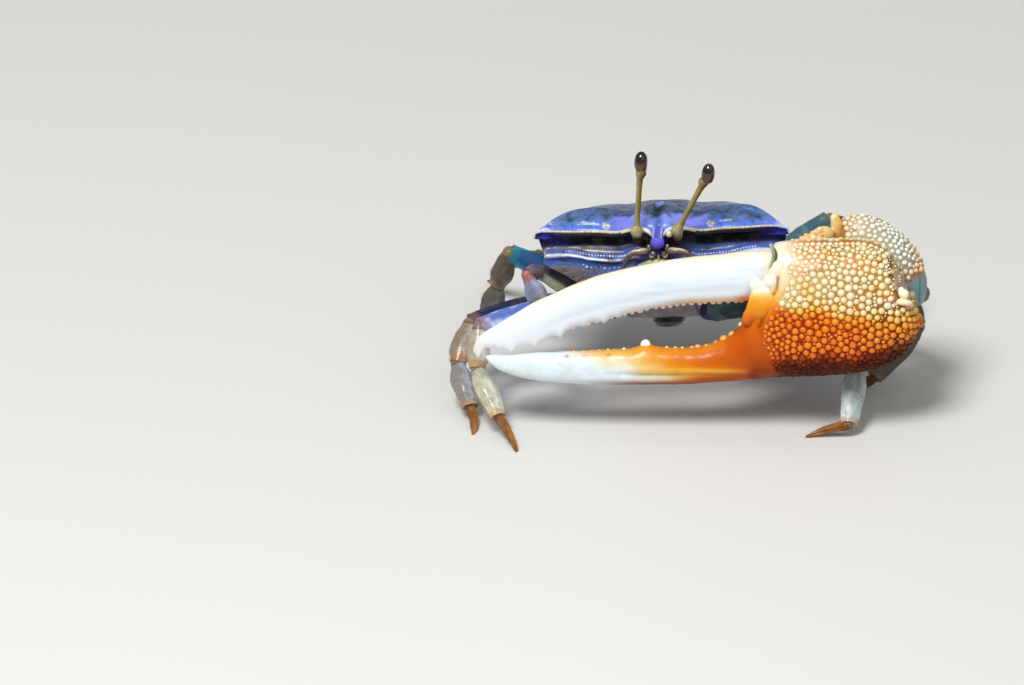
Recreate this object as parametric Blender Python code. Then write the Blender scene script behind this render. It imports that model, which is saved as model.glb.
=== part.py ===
"""Adult male fiddler crab at life size, standing with its great left claw held across its front.

Every size and place is in millimetres; MM turns them into Blender's metres where a mesh is made.
The crab faces -Y with +Z up, so its left side is at +X.
"""

import math
import random
from dataclasses import dataclass

import bmesh
import bpy
from mathutils import Matrix, Vector

MM = 0.001
JOINT_GAP = 0.3

# The driving sizes: the shell is 30 mm wide, and the rest of the animal goes by it.
SHELL_WIDTH = 30.0
SHELL_LENGTH = 0.643 * SHELL_WIDTH
BODY_DEPTH = 0.36 * SHELL_WIDTH
DOME_HEIGHT = 0.093 * SHELL_WIDTH
RIM_THICKNESS = 0.9
STALK_LENGTH = 0.228 * SHELL_WIDTH

# How the body is held: the middle of its front edge, and its turn, its lift at the front and its lean.
BODY_PLACE = Vector((-0.6, -9.5, 19.5))
BODY_YAW = math.radians(-4.5)
BODY_PITCH = math.radians(-13.0)
BODY_LEAN = math.radians(-2.5)

# The great claw lies in a plane that leans back as the body does.
CLAW_PLACE = Vector((0.0, -18.5, 13.2))
CLAW_LEAN = math.radians(-13.0)

# The middle of the floor under the whole animal, from the crab's own origin.
FLOOR_CENTRE = Vector((3.0, -2.7, 0.0))

SHELL_COLOUR = (0.05, 0.06, 0.42)
BELLY_COLOUR = (0.30, 0.32, 0.42)
STALK_COLOUR = (0.32, 0.28, 0.10)
EYE_COLOUR = (0.03, 0.012, 0.010)
MOUTH_COLOUR = (0.42, 0.45, 0.50)
LEG_COLOUR = (0.36, 0.37, 0.38)
TOE_COLOUR = (0.40, 0.20, 0.07)
PALM_COLOUR = (0.78, 0.30, 0.05)
FINGER_COLOUR = (0.82, 0.84, 0.84)
ARM_COLOUR = (0.16, 0.26, 0.32)


def clear_scene():
    """Removes whatever the scene holds."""
    for thing in list(bpy.data.objects):
        bpy.data.objects.remove(thing)


def material(name, colour, roughness, metallic=0.0):
    """A plain shell material of one colour."""
    made = bpy.data.materials.new(name)
    made.use_nodes = True
    surface = made.node_tree.nodes["Principled BSDF"]
    surface.inputs["Base Color"].default_value = (*colour, 1.0)
    surface.inputs["Roughness"].default_value = roughness
    surface.inputs["Metallic"].default_value = metallic
    return made


def empty(name, place, turn, parent=None):
    """A frame that pieces hang from."""
    frame = bpy.data.objects.new(name, None)
    bpy.context.scene.collection.objects.link(frame)
    frame.parent = parent
    frame.location = place * MM
    frame.rotation_mode = "QUATERNION"
    frame.rotation_quaternion = turn.to_quaternion()
    return frame


def place_piece(name, mesh, surface, parent, at=None, turn=None):
    """Links a mesh as a named piece under its frame."""
    piece = bpy.data.objects.new(name, mesh)
    bpy.context.scene.collection.objects.link(piece)
    mesh.materials.append(surface)
    mesh.shade_smooth()
    mesh.set_sharp_from_angle(angle=math.radians(50))
    piece.parent = parent
    if at is not None:
        piece.location = at * MM
    if turn is not None:
        piece.rotation_mode = "QUATERNION"
        piece.rotation_quaternion = turn.to_quaternion()
    return piece


def section(count, half_width, half_height, power=2.2, centre=(0.0, 0.0)):
    """Points (across, up) round a superellipse, starting at +across."""
    points = []
    for step in range(count):
        angle = 2 * math.pi * step / count
        cosine, sine = math.cos(angle), math.sin(angle)
        across = math.copysign(abs(cosine) ** (2 / power), cosine) * half_width
        up = math.copysign(abs(sine) ** (2 / power), sine) * half_height
        points.append((centre[0] + across, centre[1] + up))
    return points


def skin(rings, poles=(None, None)):
    """A closed mesh through rings of equal count, each end closed by a fan to its pole or to its middle."""
    shape = bmesh.new()
    loops = [[shape.verts.new(Vector(point) * MM) for point in ring] for ring in rings]
    count = len(loops[0])
    for near, far in zip(loops, loops[1:]):
        for step in range(count):
            after = (step + 1) % count
            shape.faces.new((near[step], near[after], far[after], far[step]))
    for ring, loop, pole in ((rings[0], loops[0], poles[0]), (rings[-1], loops[-1], poles[1])):
        if pole is None:
            pole = sum((Vector(point) for point in ring), Vector()) / count
        tip = shape.verts.new(Vector(pole) * MM)
        for step in range(count):
            shape.faces.new((loop[step], loop[(step + 1) % count], tip))
    bmesh.ops.recalc_face_normals(shape, faces=shape.faces)
    mesh = bpy.data.meshes.new("shape")
    shape.to_mesh(mesh)
    shape.free()
    return mesh


def between(low, high, share):
    """The value at a share of the way from low to high."""
    return low + (high - low) * share


def read_curve(knots, at):
    """A smooth curve through (place, value) knots, read at one place."""
    if at <= knots[0][0]:
        return knots[0][1]
    if at >= knots[-1][0]:
        return knots[-1][1]
    index = max(i for i, knot in enumerate(knots) if knot[0] <= at)
    (x0, y0), (x1, y1) = knots[index], knots[index + 1]

    def slope(i):
        if i == 0 or i == len(knots) - 1:
            return (y1 - y0) / (x1 - x0)
        return (knots[i + 1][1] - knots[i - 1][1]) / (knots[i + 1][0] - knots[i - 1][0])

    span = x1 - x0
    t = (at - x0) / span
    start, end = slope(index) * span, slope(index + 1) * span
    return (
        (2 * t**3 - 3 * t**2 + 1) * y0
        + (t**3 - 2 * t**2 + t) * start
        + (3 * t**2 - 2 * t**3) * y1
        + (t**3 - t**2) * end
    )


def smooth_line(points, count):
    """Points spaced evenly by number along a smooth curve through the given ones."""
    axes = [[(float(i), point[axis]) for i, point in enumerate(points)] for axis in range(3)]
    last = len(points) - 1
    return [
        Vector([read_curve(axis, last * step / (count - 1)) for axis in axes])
        for step in range(count)
    ]


def tube(line, radii, count, across=Vector((1.0, 0.0, 0.0)), flatness=1.0, power=2.2):
    """A closed tube along a line, with a radius at each point and its wide side towards across."""
    rings = []
    for index, point in enumerate(line):
        before, after = line[max(index - 1, 0)], line[min(index + 1, len(line) - 1)]
        along = (after - before).normalized()
        side = (across - along * across.dot(along)).normalized()
        up = along.cross(side)
        flat = section(count, radii[index], radii[index] * flatness, power)
        rings.append([point + side * a + up * b for a, b in flat])
    return skin(rings)


def fuse(piece, others):
    """Joins other closed pieces into one and keeps its largest closed surface."""
    group = bpy.data.collections.new(piece.name + "_pieces")
    bpy.context.scene.collection.children.link(group)
    for other in others:
        bpy.context.scene.collection.objects.unlink(other)
        group.objects.link(other)
    apply_boolean(piece, "UNION", group=group)
    piece.data.set_sharp_from_angle(angle=math.radians(35))
    for other in others:
        bpy.data.objects.remove(other)
    bpy.data.collections.remove(group)
    keep_largest(piece)
    return piece


def cut(piece, cutter):
    """Takes a cutter away from a piece and removes the cutter."""
    apply_boolean(piece, "DIFFERENCE", single=cutter)
    bpy.data.objects.remove(cutter)
    keep_largest(piece)
    return piece


def apply_boolean(piece, operation, group=None, single=None):
    """Runs one Boolean on a piece and keeps its result as the piece's mesh."""
    join = piece.modifiers.new("join", "BOOLEAN")
    join.operation = operation
    join.solver = "MANIFOLD"
    if group is not None:
        join.operand_type = "COLLECTION"
        join.collection = group
    else:
        join.object = single
    bpy.context.view_layer.update()
    graph = bpy.context.evaluated_depsgraph_get()
    made = bpy.data.meshes.new_from_object(piece.evaluated_get(graph))
    piece.modifiers.clear()
    piece.data = made


def keep_largest(piece):
    """Deletes all but the largest connected surface of a piece."""
    shape = bmesh.new()
    shape.from_mesh(piece.data)
    left = set(shape.verts)
    islands = []
    while left:
        stack = [left.pop()]
        island = set(stack)
        while stack:
            for edge in stack.pop().link_edges:
                for vert in edge.verts:
                    if vert in left:
                        left.remove(vert)
                        island.add(vert)
                        stack.append(vert)
        islands.append(island)
    islands.sort(key=len)
    scraps = [vert for island in islands[:-1] for vert in island]
    bmesh.ops.delete(shape, geom=scraps, context="VERTS")
    shape.to_mesh(piece.data)
    shape.free()


def block(parent, low, high, turn=None):
    """A box in the parent's frame, used as a cutter."""
    shape = bmesh.new()
    bmesh.ops.create_cube(shape, size=1.0)
    size = Vector(high) - Vector(low)
    for vert in shape.verts:
        vert.co = Vector([vert.co[i] * size[i] for i in range(3)]) * MM
    mesh = bpy.data.meshes.new("block")
    shape.to_mesh(mesh)
    shape.free()
    made = bpy.data.objects.new("block", mesh)
    bpy.context.scene.collection.objects.link(made)
    made.parent = parent
    made.location = (Vector(low) + Vector(high)) / 2 * MM
    made.rotation_mode = "QUATERNION"
    if turn is not None:
        made.rotation_quaternion = turn.to_quaternion()
    made.hide_render = True
    made.display_type = "WIRE"
    return made


# The shell's edge seen from above, on one side: from the middle of the front to the corner, and from
# the corner round to the middle of the back, as shares of the half width and of the length.
FRONT_EDGE = (
    (0.0, 0.03), (0.09, 0.035), (0.16, 0.065), (0.4, 0.088), (0.67, 0.11), (0.88, 0.15), (1.0, 0.15),
)
SIDE_EDGE = (
    (1.0, 0.15), (0.955, 0.26), (0.87, 0.42), (0.755, 0.62),
    (0.63, 0.80), (0.5, 0.925), (0.36, 0.985), (0.0, 1.0),
)
# The height of the shell's edge over its own level, by the same walk.
FRONT_RISE = (
    (0.0, 1.2), (0.14, 1.4), (0.22, 1.5), (0.34, 1.05), (0.5, 0.85), (0.7, 1.0), (0.88, 1.05), (1.0, 0.3),
)
SIDE_RISE = ((0.0, 0.3), (0.08, 0.4), (0.3, 0.3), (0.7, -0.3), (1.0, -1.3))
FRONT_STEPS, SIDE_STEPS = 9, 11
HALF_WIDTH = SHELL_WIDTH / 2
DOME_CENTRE = Vector((0.0, 0.47 * SHELL_LENGTH, 0.0))
UNDER_SHELL = -0.7


def edge_walk(points, rises, steps, by_width):
    """Points of one stretch of the shell's edge, each with its height."""
    walk = []
    for step in range(steps):
        share = step / steps
        across = read_curve([(i / (len(points) - 1), p[0]) for i, p in enumerate(points)], share)
        back = read_curve([(i / (len(points) - 1), p[1]) for i, p in enumerate(points)], share)
        rise = read_curve(rises, across if by_width else share)
        walk.append(Vector((across * HALF_WIDTH, back * SHELL_LENGTH, rise)))
    return walk


def shell_edge():
    """The whole edge of the shell, once round, starting at the middle of the front."""
    half = edge_walk(FRONT_EDGE, FRONT_RISE, FRONT_STEPS, True)
    half += edge_walk(SIDE_EDGE, SIDE_RISE, SIDE_STEPS, False)
    half.append(Vector((0.0, SHELL_LENGTH, SIDE_RISE[-1][1])))
    other = [Vector((-point.x, point.y, point.z)) for point in half[1:-1]]
    return half + other[::-1]


def shrunk(edge, share, level=0.0, follow=1.0, front_inset=0.0):
    """The shell's edge drawn in towards the middle, at a level, with its front set back."""
    ring = []
    for point in edge:
        drawn = DOME_CENTRE + (point - DOME_CENTRE) * share
        drawn.z = point.z * follow + level
        if front_inset:
            frontness = max(0.0, 1.0 - point.y / (0.32 * SHELL_LENGTH))
            drawn.y += front_inset * frontness
        ring.append(drawn)
    return ring


def dome(edge, share):
    """One ring of the shell's back, domed over its edge, with its furrow and its two low swellings."""
    ring = shrunk(edge, share)
    for point in ring:
        inward = 1.0 - share
        lift = DOME_HEIGHT * (1.0 - share**3.2) ** 0.8
        keel = 0.12 * math.exp(-((abs(point.x) - 4.2) / 2.2) ** 2) * math.sin(math.pi * inward)
        point.z = point.z * share + lift + keel
    return ring


def front_lobe():
    """The narrow tongue of shell that hangs between the eyestalks."""
    line = smooth_line([(0, 1.6, 1.0), (0, 0.3, 0.95), (0, -0.6, 0.35), (0, -0.65, -0.55)], 7)
    widths = (0.9, 0.85, 0.72, 0.66, 0.74, 0.8, 0.5)
    return tube(line, widths, 10, flatness=0.62)


def carapace(body, shell):
    """The domed back, its thin rim and the tongue at the front."""
    edge = shell_edge()
    rings = [dome(edge, share) for share in (0.18, 0.4, 0.6, 0.78, 0.9, 0.97)]
    rings.append(shrunk(edge, 1.0))
    rings.append(shrunk(edge, 0.995, -0.45))
    rings.append(shrunk(edge, 0.93, -RIM_THICKNESS))
    top = DOME_CENTRE + Vector((0, 0, DOME_HEIGHT))
    under = DOME_CENTRE + Vector((0, 0, UNDER_SHELL))
    piece = place_piece("carapace", skin(rings, (top, under)), shell, body)
    lobe = place_piece("lobe", front_lobe(), shell, body)
    return fuse(piece, [lobe])


# The under body, ring by ring: the share drawn in, how far it follows the shell's edge up and down,
# its level, and how far its front is set back. Rings one to four are the trough that the eyestalks
# fold into and the ledge under it.
BODY_RINGS = (
    (0.915, 1.0, -1.9, 1.9),
    (0.90, 1.0, -2.45, 1.9),
    (0.925, 1.0, -2.85, 0.2),
    (0.935, 1.0, -3.35, 0.1),
    (0.87, 0.7, -4.0, 0.3),
    (0.78, 0.3, -5.4, 0.1),
    (0.58, 0.0, -7.6, 0.3),
    (0.44, 0.0, -9.4, 1.0),
    (0.28, 0.0, -BODY_DEPTH, 1.6),
)
LEG_ROOTS = ((9.6, 4.6, -8.0), (10.2, 8.0, -8.1), (9.6, 11.4, -8.0), (8.1, 14.4, -7.7))
CLAW_ROOT = (6.4, 2.0, -8.8)
COXA_RADIUS, ROOT_BALL = 1.35, 0.95
CLAW_COXA_RADII, CLAW_ROOT_BALLS = {1: 2.1, -1: 1.2}, {1: 1.5, -1: 0.8}
ABDOMEN_LINE = (
    (0, 19.7, -4.3), (0, 18.35, -7.1), (0, 15.4, -9.2), (0, 13.0, -11.2), (0, 10.6, -11.8), (0, 7.8, -11.85),
)
ABDOMEN_WIDTHS = (3.0, 3.3, 3.3, 3.1, 2.9, 2.6, 2.3, 2.05, 1.85, 1.6, 1.0)
ABDOMEN_FLATNESS = 0.19


def body_matrix():
    """The turn of the body's frame."""
    yaw = Matrix.Rotation(BODY_YAW, 3, "Z")
    pitch = Matrix.Rotation(BODY_PITCH, 3, "X")
    lean = Matrix.Rotation(BODY_LEAN, 3, "Y")
    return yaw @ pitch @ lean


def from_body(point, side=1):
    """A place on the body, on its left (1) or right (-1), in the crab's frame."""
    return BODY_PLACE + body_matrix() @ Vector((point[0] * side, point[1], point[2]))


def coxa(crab, joint, inner, radius, ball, surface):
    """The short first piece of a limb, from inside the body to just short of the limb's first joint."""
    along = (joint - inner).normalized()
    end = joint - along * (ball + JOINT_GAP)
    line = [between(inner, end, share) for share in (0.0, 0.6, 0.9, 1.0)]
    mesh = tube(line, (radius * 0.9, radius, radius * 0.95, radius * 0.8), 10, across=Vector((0, 0.3, 1)))
    return place_piece("coxa", mesh, surface, crab)


def underbody(crab, body, surface):
    """The face, flanks and breast under the shell, with the first piece of each limb."""
    edge = shell_edge()
    rings = []
    for share, follow, level, inset in BODY_RINGS:
        rings.append(shrunk(edge, share, level, follow, inset))
    top = DOME_CENTRE + Vector((0, 0, UNDER_SHELL - 3 * JOINT_GAP))
    piece = place_piece("thorax", skin(rings, (top, None)), surface, body)
    stubs = []
    for side in (1, -1):
        for root in LEG_ROOTS:
            inner = from_body((root[0] * 0.35, root[1], root[2] + 1.6), side)
            stubs.append(coxa(crab, from_body(root, side), inner, COXA_RADIUS, ROOT_BALL, surface))
        inner = from_body((CLAW_ROOT[0] * 0.78, CLAW_ROOT[1] + 3.4, CLAW_ROOT[2] + 1.8), side)
        radius, ball = CLAW_COXA_RADII[side], CLAW_ROOT_BALLS[side]
        stubs.append(coxa(crab, from_body(CLAW_ROOT, side), inner, radius, ball, surface))
    return fuse(piece, stubs)


def abdomen(body, surface):
    """The male's narrow tail, folded forward under the breast."""
    line = smooth_line(ABDOMEN_LINE, len(ABDOMEN_WIDTHS))
    mesh = tube(line, ABDOMEN_WIDTHS, 12, flatness=ABDOMEN_FLATNESS)
    return place_piece("abdomen", mesh, surface, body)


# The face

STALK_ROOT = ((2.0, 1.7, -0.95), (2.2, 0.2, -0.7), (2.35, -0.85, 0.4))
STALK_FOOT = (2.45, -0.75, 1.75)
STALK_WAYS = {"right": Vector((0.075, 0.02, 1.0)), "left": Vector((0.47, -0.20, 1.0))}
SIDES = {"left": 1, "right": -1}
STALK_RADII = (0.35, 0.38, 0.4, 0.46, 0.62, 0.74, 0.44, 0.36, 0.34, 0.38, 0.5)
STALK_POINTS = 14
EYE_LENGTH, EYE_RADIUS = 2.5, 0.82
EYE_SHARES = ((0.0, 0.62), (0.1, 0.82), (0.3, 0.98), (0.55, 1.0), (0.78, 0.86), (0.92, 0.55), (0.98, 0.25))
FEELER_LINE = ((1.05, 0.2, -2.0), (2.2, 0.1, -2.55), (3.5, 0.15, -3.35), (4.9, 0.2, -4.9))
FEELER_RADII = (0.42, 0.46, 0.42, 0.36, 0.32, 0.28, 0.25, 0.16)
MOUTH_LINE = ((1.95, 0.9, -4.3), (1.95, 0.95, -6.0), (1.85, 1.7, -7.6), (1.6, 3.0, -9.1))
MOUTH_WIDTHS = (1.4, 1.7, 1.75, 1.75, 1.65, 1.35, 0.8)


def on_side(point, side):
    """A point given for the left side, on either side of the body."""
    return Vector((point[0] * SIDES[side], point[1], point[2]))


def eyestalk(body, side, stalk, eye):
    """A jointed stalk that bends up out of its trough, and the long eye on its end."""
    foot = on_side(STALK_FOOT, side)
    way = STALK_WAYS[side].normalized()
    top = foot + way * STALK_LENGTH
    knots = [on_side(point, side) for point in STALK_ROOT] + [foot]
    knots += [between(foot, top, share) for share in (0.33, 0.66, 1.0)]
    line = smooth_line(knots, STALK_POINTS)
    widths = [(step / (len(STALK_RADII) - 1), radius) for step, radius in enumerate(STALK_RADII)]
    radii = [read_curve(widths, step / (STALK_POINTS - 1)) for step in range(STALK_POINTS)]
    place_piece("eyestalk_" + side, tube(line, radii, 10), stalk, body)
    start = top + way * JOINT_GAP
    line = [start + way * EYE_LENGTH * share for share, _ in EYE_SHARES]
    radii = [EYE_RADIUS * width for _, width in EYE_SHARES]
    place_piece("eye_" + side, tube(line, radii, 12), eye, body)


def antenna(body, side, surface):
    """A short feeler that lies out and down over the cheek."""
    line = smooth_line([on_side(point, side) for point in FEELER_LINE], len(FEELER_RADII))
    place_piece("antenna_" + side, tube(line, FEELER_RADII, 8), surface, body)


def mouthpart(body, side, surface):
    """One of the two plates that close the mouth."""
    line = smooth_line([on_side(point, side) for point in MOUTH_LINE], len(MOUTH_WIDTHS))
    mesh = tube(line, MOUTH_WIDTHS, 12, flatness=0.2, power=2.6)
    place_piece("mouthpart_" + side, mesh, surface, body)


# The limbs


@dataclass(frozen=True)
class Form:
    """A limb segment's greatest half width and half thickness, and its shares of them along its length."""

    half_width: float
    half_thickness: float
    shares: tuple
    power: float = 2.0


MERUS_SHARES = (
    (0.16, 0.62, 0.8), (0.36, 0.92, 0.98), (0.6, 1.0, 1.0),
    (0.82, 0.9, 0.95), (0.95, 0.74, 0.85), (1.0, 0.5, 0.6),
)
PROPODUS_SHARES = ((0.14, 0.7, 0.9), (0.34, 0.98, 1.0), (0.65, 0.9, 0.95), (0.95, 0.7, 0.85), (1.0, 0.5, 0.6))
MERUS = Form(1.85, 1.15, MERUS_SHARES, 1.8)
CARPUS = Form(1.45, 1.15, ((0.3, 0.72, 0.85), (0.65, 1.0, 1.0), (0.92, 0.92, 0.95), (1.0, 0.66, 0.7)))
PROPODUS = Form(1.5, 1.0, PROPODUS_SHARES)
TOE = Form(0.72, 0.55, ((0.2, 1.0, 1.0), (0.5, 0.8, 0.85), (0.8, 0.55, 0.6), (1.0, 0.36, 0.42)))
KNEE_BALL, WRIST_BALL, ANKLE_BALL = 0.9, 0.85, 0.6
# How far a toe is drawn on through the floor before it is cut off flat.
TOE_TRIM = 0.45


@dataclass(frozen=True)
class Leg:
    """A walking leg: its joints after the root, and how big it is beside the longest legs."""

    knee: tuple
    wrist: tuple
    ankle: tuple
    toe: tuple
    scale: float


LEGS = {
    ("left", 1): Leg((22.3, -10.3, 7.4), (22.8, -15.1, 6.4), (22.0, -21.9, 1.6), (17.3, -22.1, 0), 1.0),
    ("left", 2): Leg((27.6, -4.3, 12.2), (30.6, -5.4, 6.6), (25.2, -9.6, 1.8), (21.9, -12.3, 0), 1.0),
    ("left", 3): Leg((20.0, 5.2, 15.6), (25.0, 7.4, 11.4), (29.0, 6.9, 3.0), (31.0, 5.6, 0), 1.0),
    ("left", 4): Leg((18.0, 9.8, 10.4), (22.6, 13.2, 7.4), (24.8, 16.8, 2.2), (25.4, 20.6, 0), 0.85),
    ("right", 1): Leg((-21.9, -12.9, 10.0), (-22.1, -16.1, 6.1), (-19.6, -21.5, 2.4), (-17.4, -26.0, 0), 1.0),
    ("right", 2): Leg((-23.0, -8.4, 8.4), (-24.5, -12.4, 5.0), (-22.9, -17.4, 1.7), (-22.6, -21.4, 0), 1.0),
    ("right", 3): Leg((-18.3, 0.4, 13.6), (-19.6, 2.6, 8.2), (-21.2, 4.2, 2.2), (-23.6, 5.4, 0), 0.95),
    ("right", 4): Leg((-15.0, 9.2, 8.8), (-18.2, 12.8, 6.4), (-19.9, 16.6, 2.0), (-20.9, 20.6, 0), 0.85),
}


def segment_mesh(length, form, near_ball, far_ball, scale, sides, bow=0.0):
    """A limb segment along +X from its near joint at the origin, with its broad side in the XZ plane."""
    end = length - (far_ball + JOINT_GAP if far_ball else 0.0)
    start = near_ball * 0.9
    neck = ((-0.75, 0.5), (-0.25, 0.95), (0.45, 1.0))
    rings = []
    for place, width in neck:
        half = near_ball * width
        rings.append([(near_ball * place, a, b) for a, b in section(sides, half, half)])
    for share, width, thickness in form.shares:
        along = between(start, end, share)
        lift = bow * math.sin(math.pi * share)
        half_thickness = form.half_thickness * thickness * scale
        half_width = form.half_width * width * scale
        flat = section(sides, half_thickness, half_width, form.power, (0.0, lift))
        rings.append([(along, a, b) for a, b in flat])
    return skin(rings)


def segment_turn(along, normal):
    """The turn that lays +X along a segment and its thin side along normal."""
    forward = along.normalized()
    up = normal.cross(forward).normalized()
    across = up.cross(forward) * -1.0
    return Matrix((forward, -across, up)).transposed()


def segment(crab, name, start, end, form, balls, scale, normal, surface, sides=8, bow=0.0):
    """One limb segment between two joints."""
    mesh = segment_mesh((end - start).length, form, balls[0] * scale, balls[1] * scale, scale, sides, bow)
    return place_piece(name, mesh, surface, crab, start, segment_turn(end - start, normal))


def trim_at_floor(piece, crab):
    """Cuts a toe off flat where it meets the floor."""
    low, high = Vector((-40, -40, -6)), Vector((40, 40, 0))
    return cut(piece, block(crab, low, high))


def walking_leg(crab, side, number, leg, surface, toe_surface):
    """The four free segments of one walking leg."""
    root = from_body(LEG_ROOTS[number - 1], SIDES[side])
    knee, wrist, ankle, toe = [Vector(joint) for joint in (leg.knee, leg.wrist, leg.ankle, leg.toe)]
    toe += (toe - ankle).normalized() * TOE_TRIM
    normal = (knee - root).cross(ankle - wrist).normalized()
    stretches = (
        ("merus", root, knee, MERUS, (ROOT_BALL, KNEE_BALL)),
        ("carpus", knee, wrist, CARPUS, (KNEE_BALL, WRIST_BALL)),
        ("propodus", wrist, ankle, PROPODUS, (WRIST_BALL, ANKLE_BALL)),
    )
    name = f"leg_{side}_{number}_"
    for part, start, end, form, balls in stretches:
        segment(crab, name + part, start, end, form, balls, leg.scale, normal, surface)
    balls = (ANKLE_BALL, 0.0)
    tip = segment(crab, name + "dactyl", ankle, toe, TOE, balls, leg.scale, normal, toe_surface, bow=0.25)
    trim_at_floor(tip, crab)


# The small right claw

SMALL_KNEE, SMALL_WRIST = Vector((-14.6, -9.6, 16.0)), Vector((-16.3, -11.9, 16.6))
SMALL_KNUCKLE, SMALL_TIP = Vector((-14.6, -12.9, 13.4)), Vector((-12.4, -13.7, 9.9))
SMALL_FINGER_GAP = 0.75
SMALL_MERUS = Form(1.1, 0.95, ((0.16, 0.75, 0.8), (0.5, 1.0, 1.0), (0.82, 0.95, 0.95), (1.0, 0.8, 0.8)))
SMALL_CARPUS = Form(0.95, 0.9, ((0.5, 1.0, 1.0), (1.0, 0.6, 0.7)))
SMALL_PALM = Form(1.3, 0.95, ((0.2, 0.52, 0.7), (0.45, 0.95, 1.0), (0.7, 1.0, 1.0), (1.0, 0.85, 0.8)))
SMALL_FINGER = Form(0.46, 0.5, ((0.15, 1.0, 1.0), (0.5, 0.85, 0.9), (0.85, 0.6, 0.7), (1.0, 0.4, 0.5)))


def small_claw(crab, surface, finger_surface):
    """The small right claw, folded with its hand down beside the mouth."""
    root = from_body(CLAW_ROOT, -1)
    normal = (SMALL_KNEE - root).cross(SMALL_TIP - SMALL_WRIST).normalized()
    segment(crab, "minor_merus", root, SMALL_KNEE, SMALL_MERUS, (0.8, 0.7), 1.0, normal, surface)
    segment(crab, "minor_carpus", SMALL_KNEE, SMALL_WRIST, SMALL_CARPUS, (0.7, 0.65), 1.0, normal, surface)
    balls = (0.65, 0.0)
    ends = (SMALL_WRIST, SMALL_KNUCKLE)
    palm = segment(crab, "minor_propodus", *ends, SMALL_PALM, balls, 1.0, normal, surface)
    along = (SMALL_TIP - SMALL_KNUCKLE).normalized()
    aside = normal.cross(along).normalized() * SMALL_FINGER_GAP
    fixed_start, fixed_end = SMALL_KNUCKLE - aside - along * 0.9, SMALL_TIP - aside * 0.45
    fixed = segment(crab, "fixed", fixed_start, fixed_end, SMALL_FINGER, (0.5, 0.0), 1.0, normal, surface)
    fuse(palm, [fixed])
    start, end = SMALL_KNUCKLE + aside * 0.85 + along * 0.75, SMALL_TIP + aside * 0.5
    segment(crab, "minor_dactyl", start, end, SMALL_FINGER, (0.42, 0.0), 1.0, normal, finger_surface)


# The great left claw, drawn in its own plane: +X towards its heel, +Z up, -Y its outer face

HAND_TOP = (
    (-21.1, -3.85), (-20.6, -3.72), (-19.0, -3.68), (-12.3, -3.3), (-6.0, -3.05), (-1.0, -2.8),
    (4.2, -2.7), (6.9, -1.8), (8.3, -0.95), (9.3, 0.2), (9.8, 1.8), (10.2, 3.6), (10.7, 5.2),
    (12.0, 7.3), (12.9, 9.3), (14.0, 9.9), (20.0, 10.3), (24.0, 10.2), (26.2, 9.3), (27.6, 7.6),
    (28.5, 5.4), (29.6, 3.2), (30.5, 1.0),
)
HAND_BOTTOM = (
    (-21.1, -4.1), (-20.6, -4.7), (-19.4, -5.6), (-17.0, -6.45), (-12.3, -7.1), (-5.1, -7.3),
    (4.4, -7.1), (13.9, -6.65), (22.3, -6.1), (25.8, -5.3), (28.6, -3.6), (29.9, -2.0), (30.5, -0.3),
)
HAND_OUTER = (
    (-21.1, 0.25), (-20.5, 0.65), (-16.0, 1.15), (-8.0, 1.6), (0.0, 1.9), (7.0, 2.3), (10.5, 3.1),
    (15.0, 4.3), (20.0, 4.8), (25.0, 4.5), (28.5, 3.3), (30.0, 1.9), (30.5, 0.9),
)
HAND_INNER = (
    (-21.1, 0.25), (-20.5, 0.6), (-16.0, 1.0), (-8.0, 1.35), (0.0, 1.6), (7.0, 2.0), (10.5, 2.5),
    (15.0, 3.3), (20.0, 3.7), (25.0, 3.5), (28.5, 2.7), (30.0, 1.7), (30.5, 0.8),
)
FINGER_TOP = (
    (-22.6, -2.9), (-22.3, -2.0), (-21.5, -1.1), (-19.5, 0.13), (-15.5, 2.6), (-11.3, 4.55), (-7.3, 6.1),
    (-3.1, 7.1), (1.0, 7.9), (4.4, 8.3), (9.2, 8.8), (12.6, 9.0), (13.4, 8.6), (14.0, 7.6),
)
FINGER_BOTTOM = (
    (-22.6, -3.3), (-22.2, -4.0), (-21.85, -4.1), (-21.3, -3.1), (-20.6, -2.7), (-18.5, -2.85),
    (-16.5, -2.45), (-14.6, -1.95), (-13.0, -1.2), (-11.3, -0.5), (-8.0, 0.45), (-4.2, 1.4),
    (1.0, 2.4), (4.4, 2.7), (9.0, 2.9), (10.6, 3.2), (12.2, 5.0), (14.0, 6.6),
)
FINGER_THICKNESS = (
    (-22.6, 0.2), (-22.2, 0.5), (-20.5, 0.7), (-16.0, 1.05), (-8.0, 1.4), (0.0, 1.7), (6.0, 1.95),
    (9.5, 2.1), (12.0, 1.9), (14.0, 1.3),
)
HAND_STATIONS = (
    -21.1, -20.8, -20.0, -17.8, -14.5, -10.5, -6.0, -1.5, 3.0, 6.5, 8.6, 9.6, 10.4, 11.2, 12.1, 13.1,
    14.6, 17.0, 20.0, 23.0, 25.2, 27.0, 28.4, 29.6, 30.5,
)
FINGER_STATIONS = (
    -22.6, -22.3, -21.9, -21.4, -20.6, -18.6, -15.5, -12.0, -8.0, -4.0, 0.0, 4.0, 8.0, 10.5, 12.4, 14.0,
)
HAND_CUT = 7.7
HAND_POWER = 2.25
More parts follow.
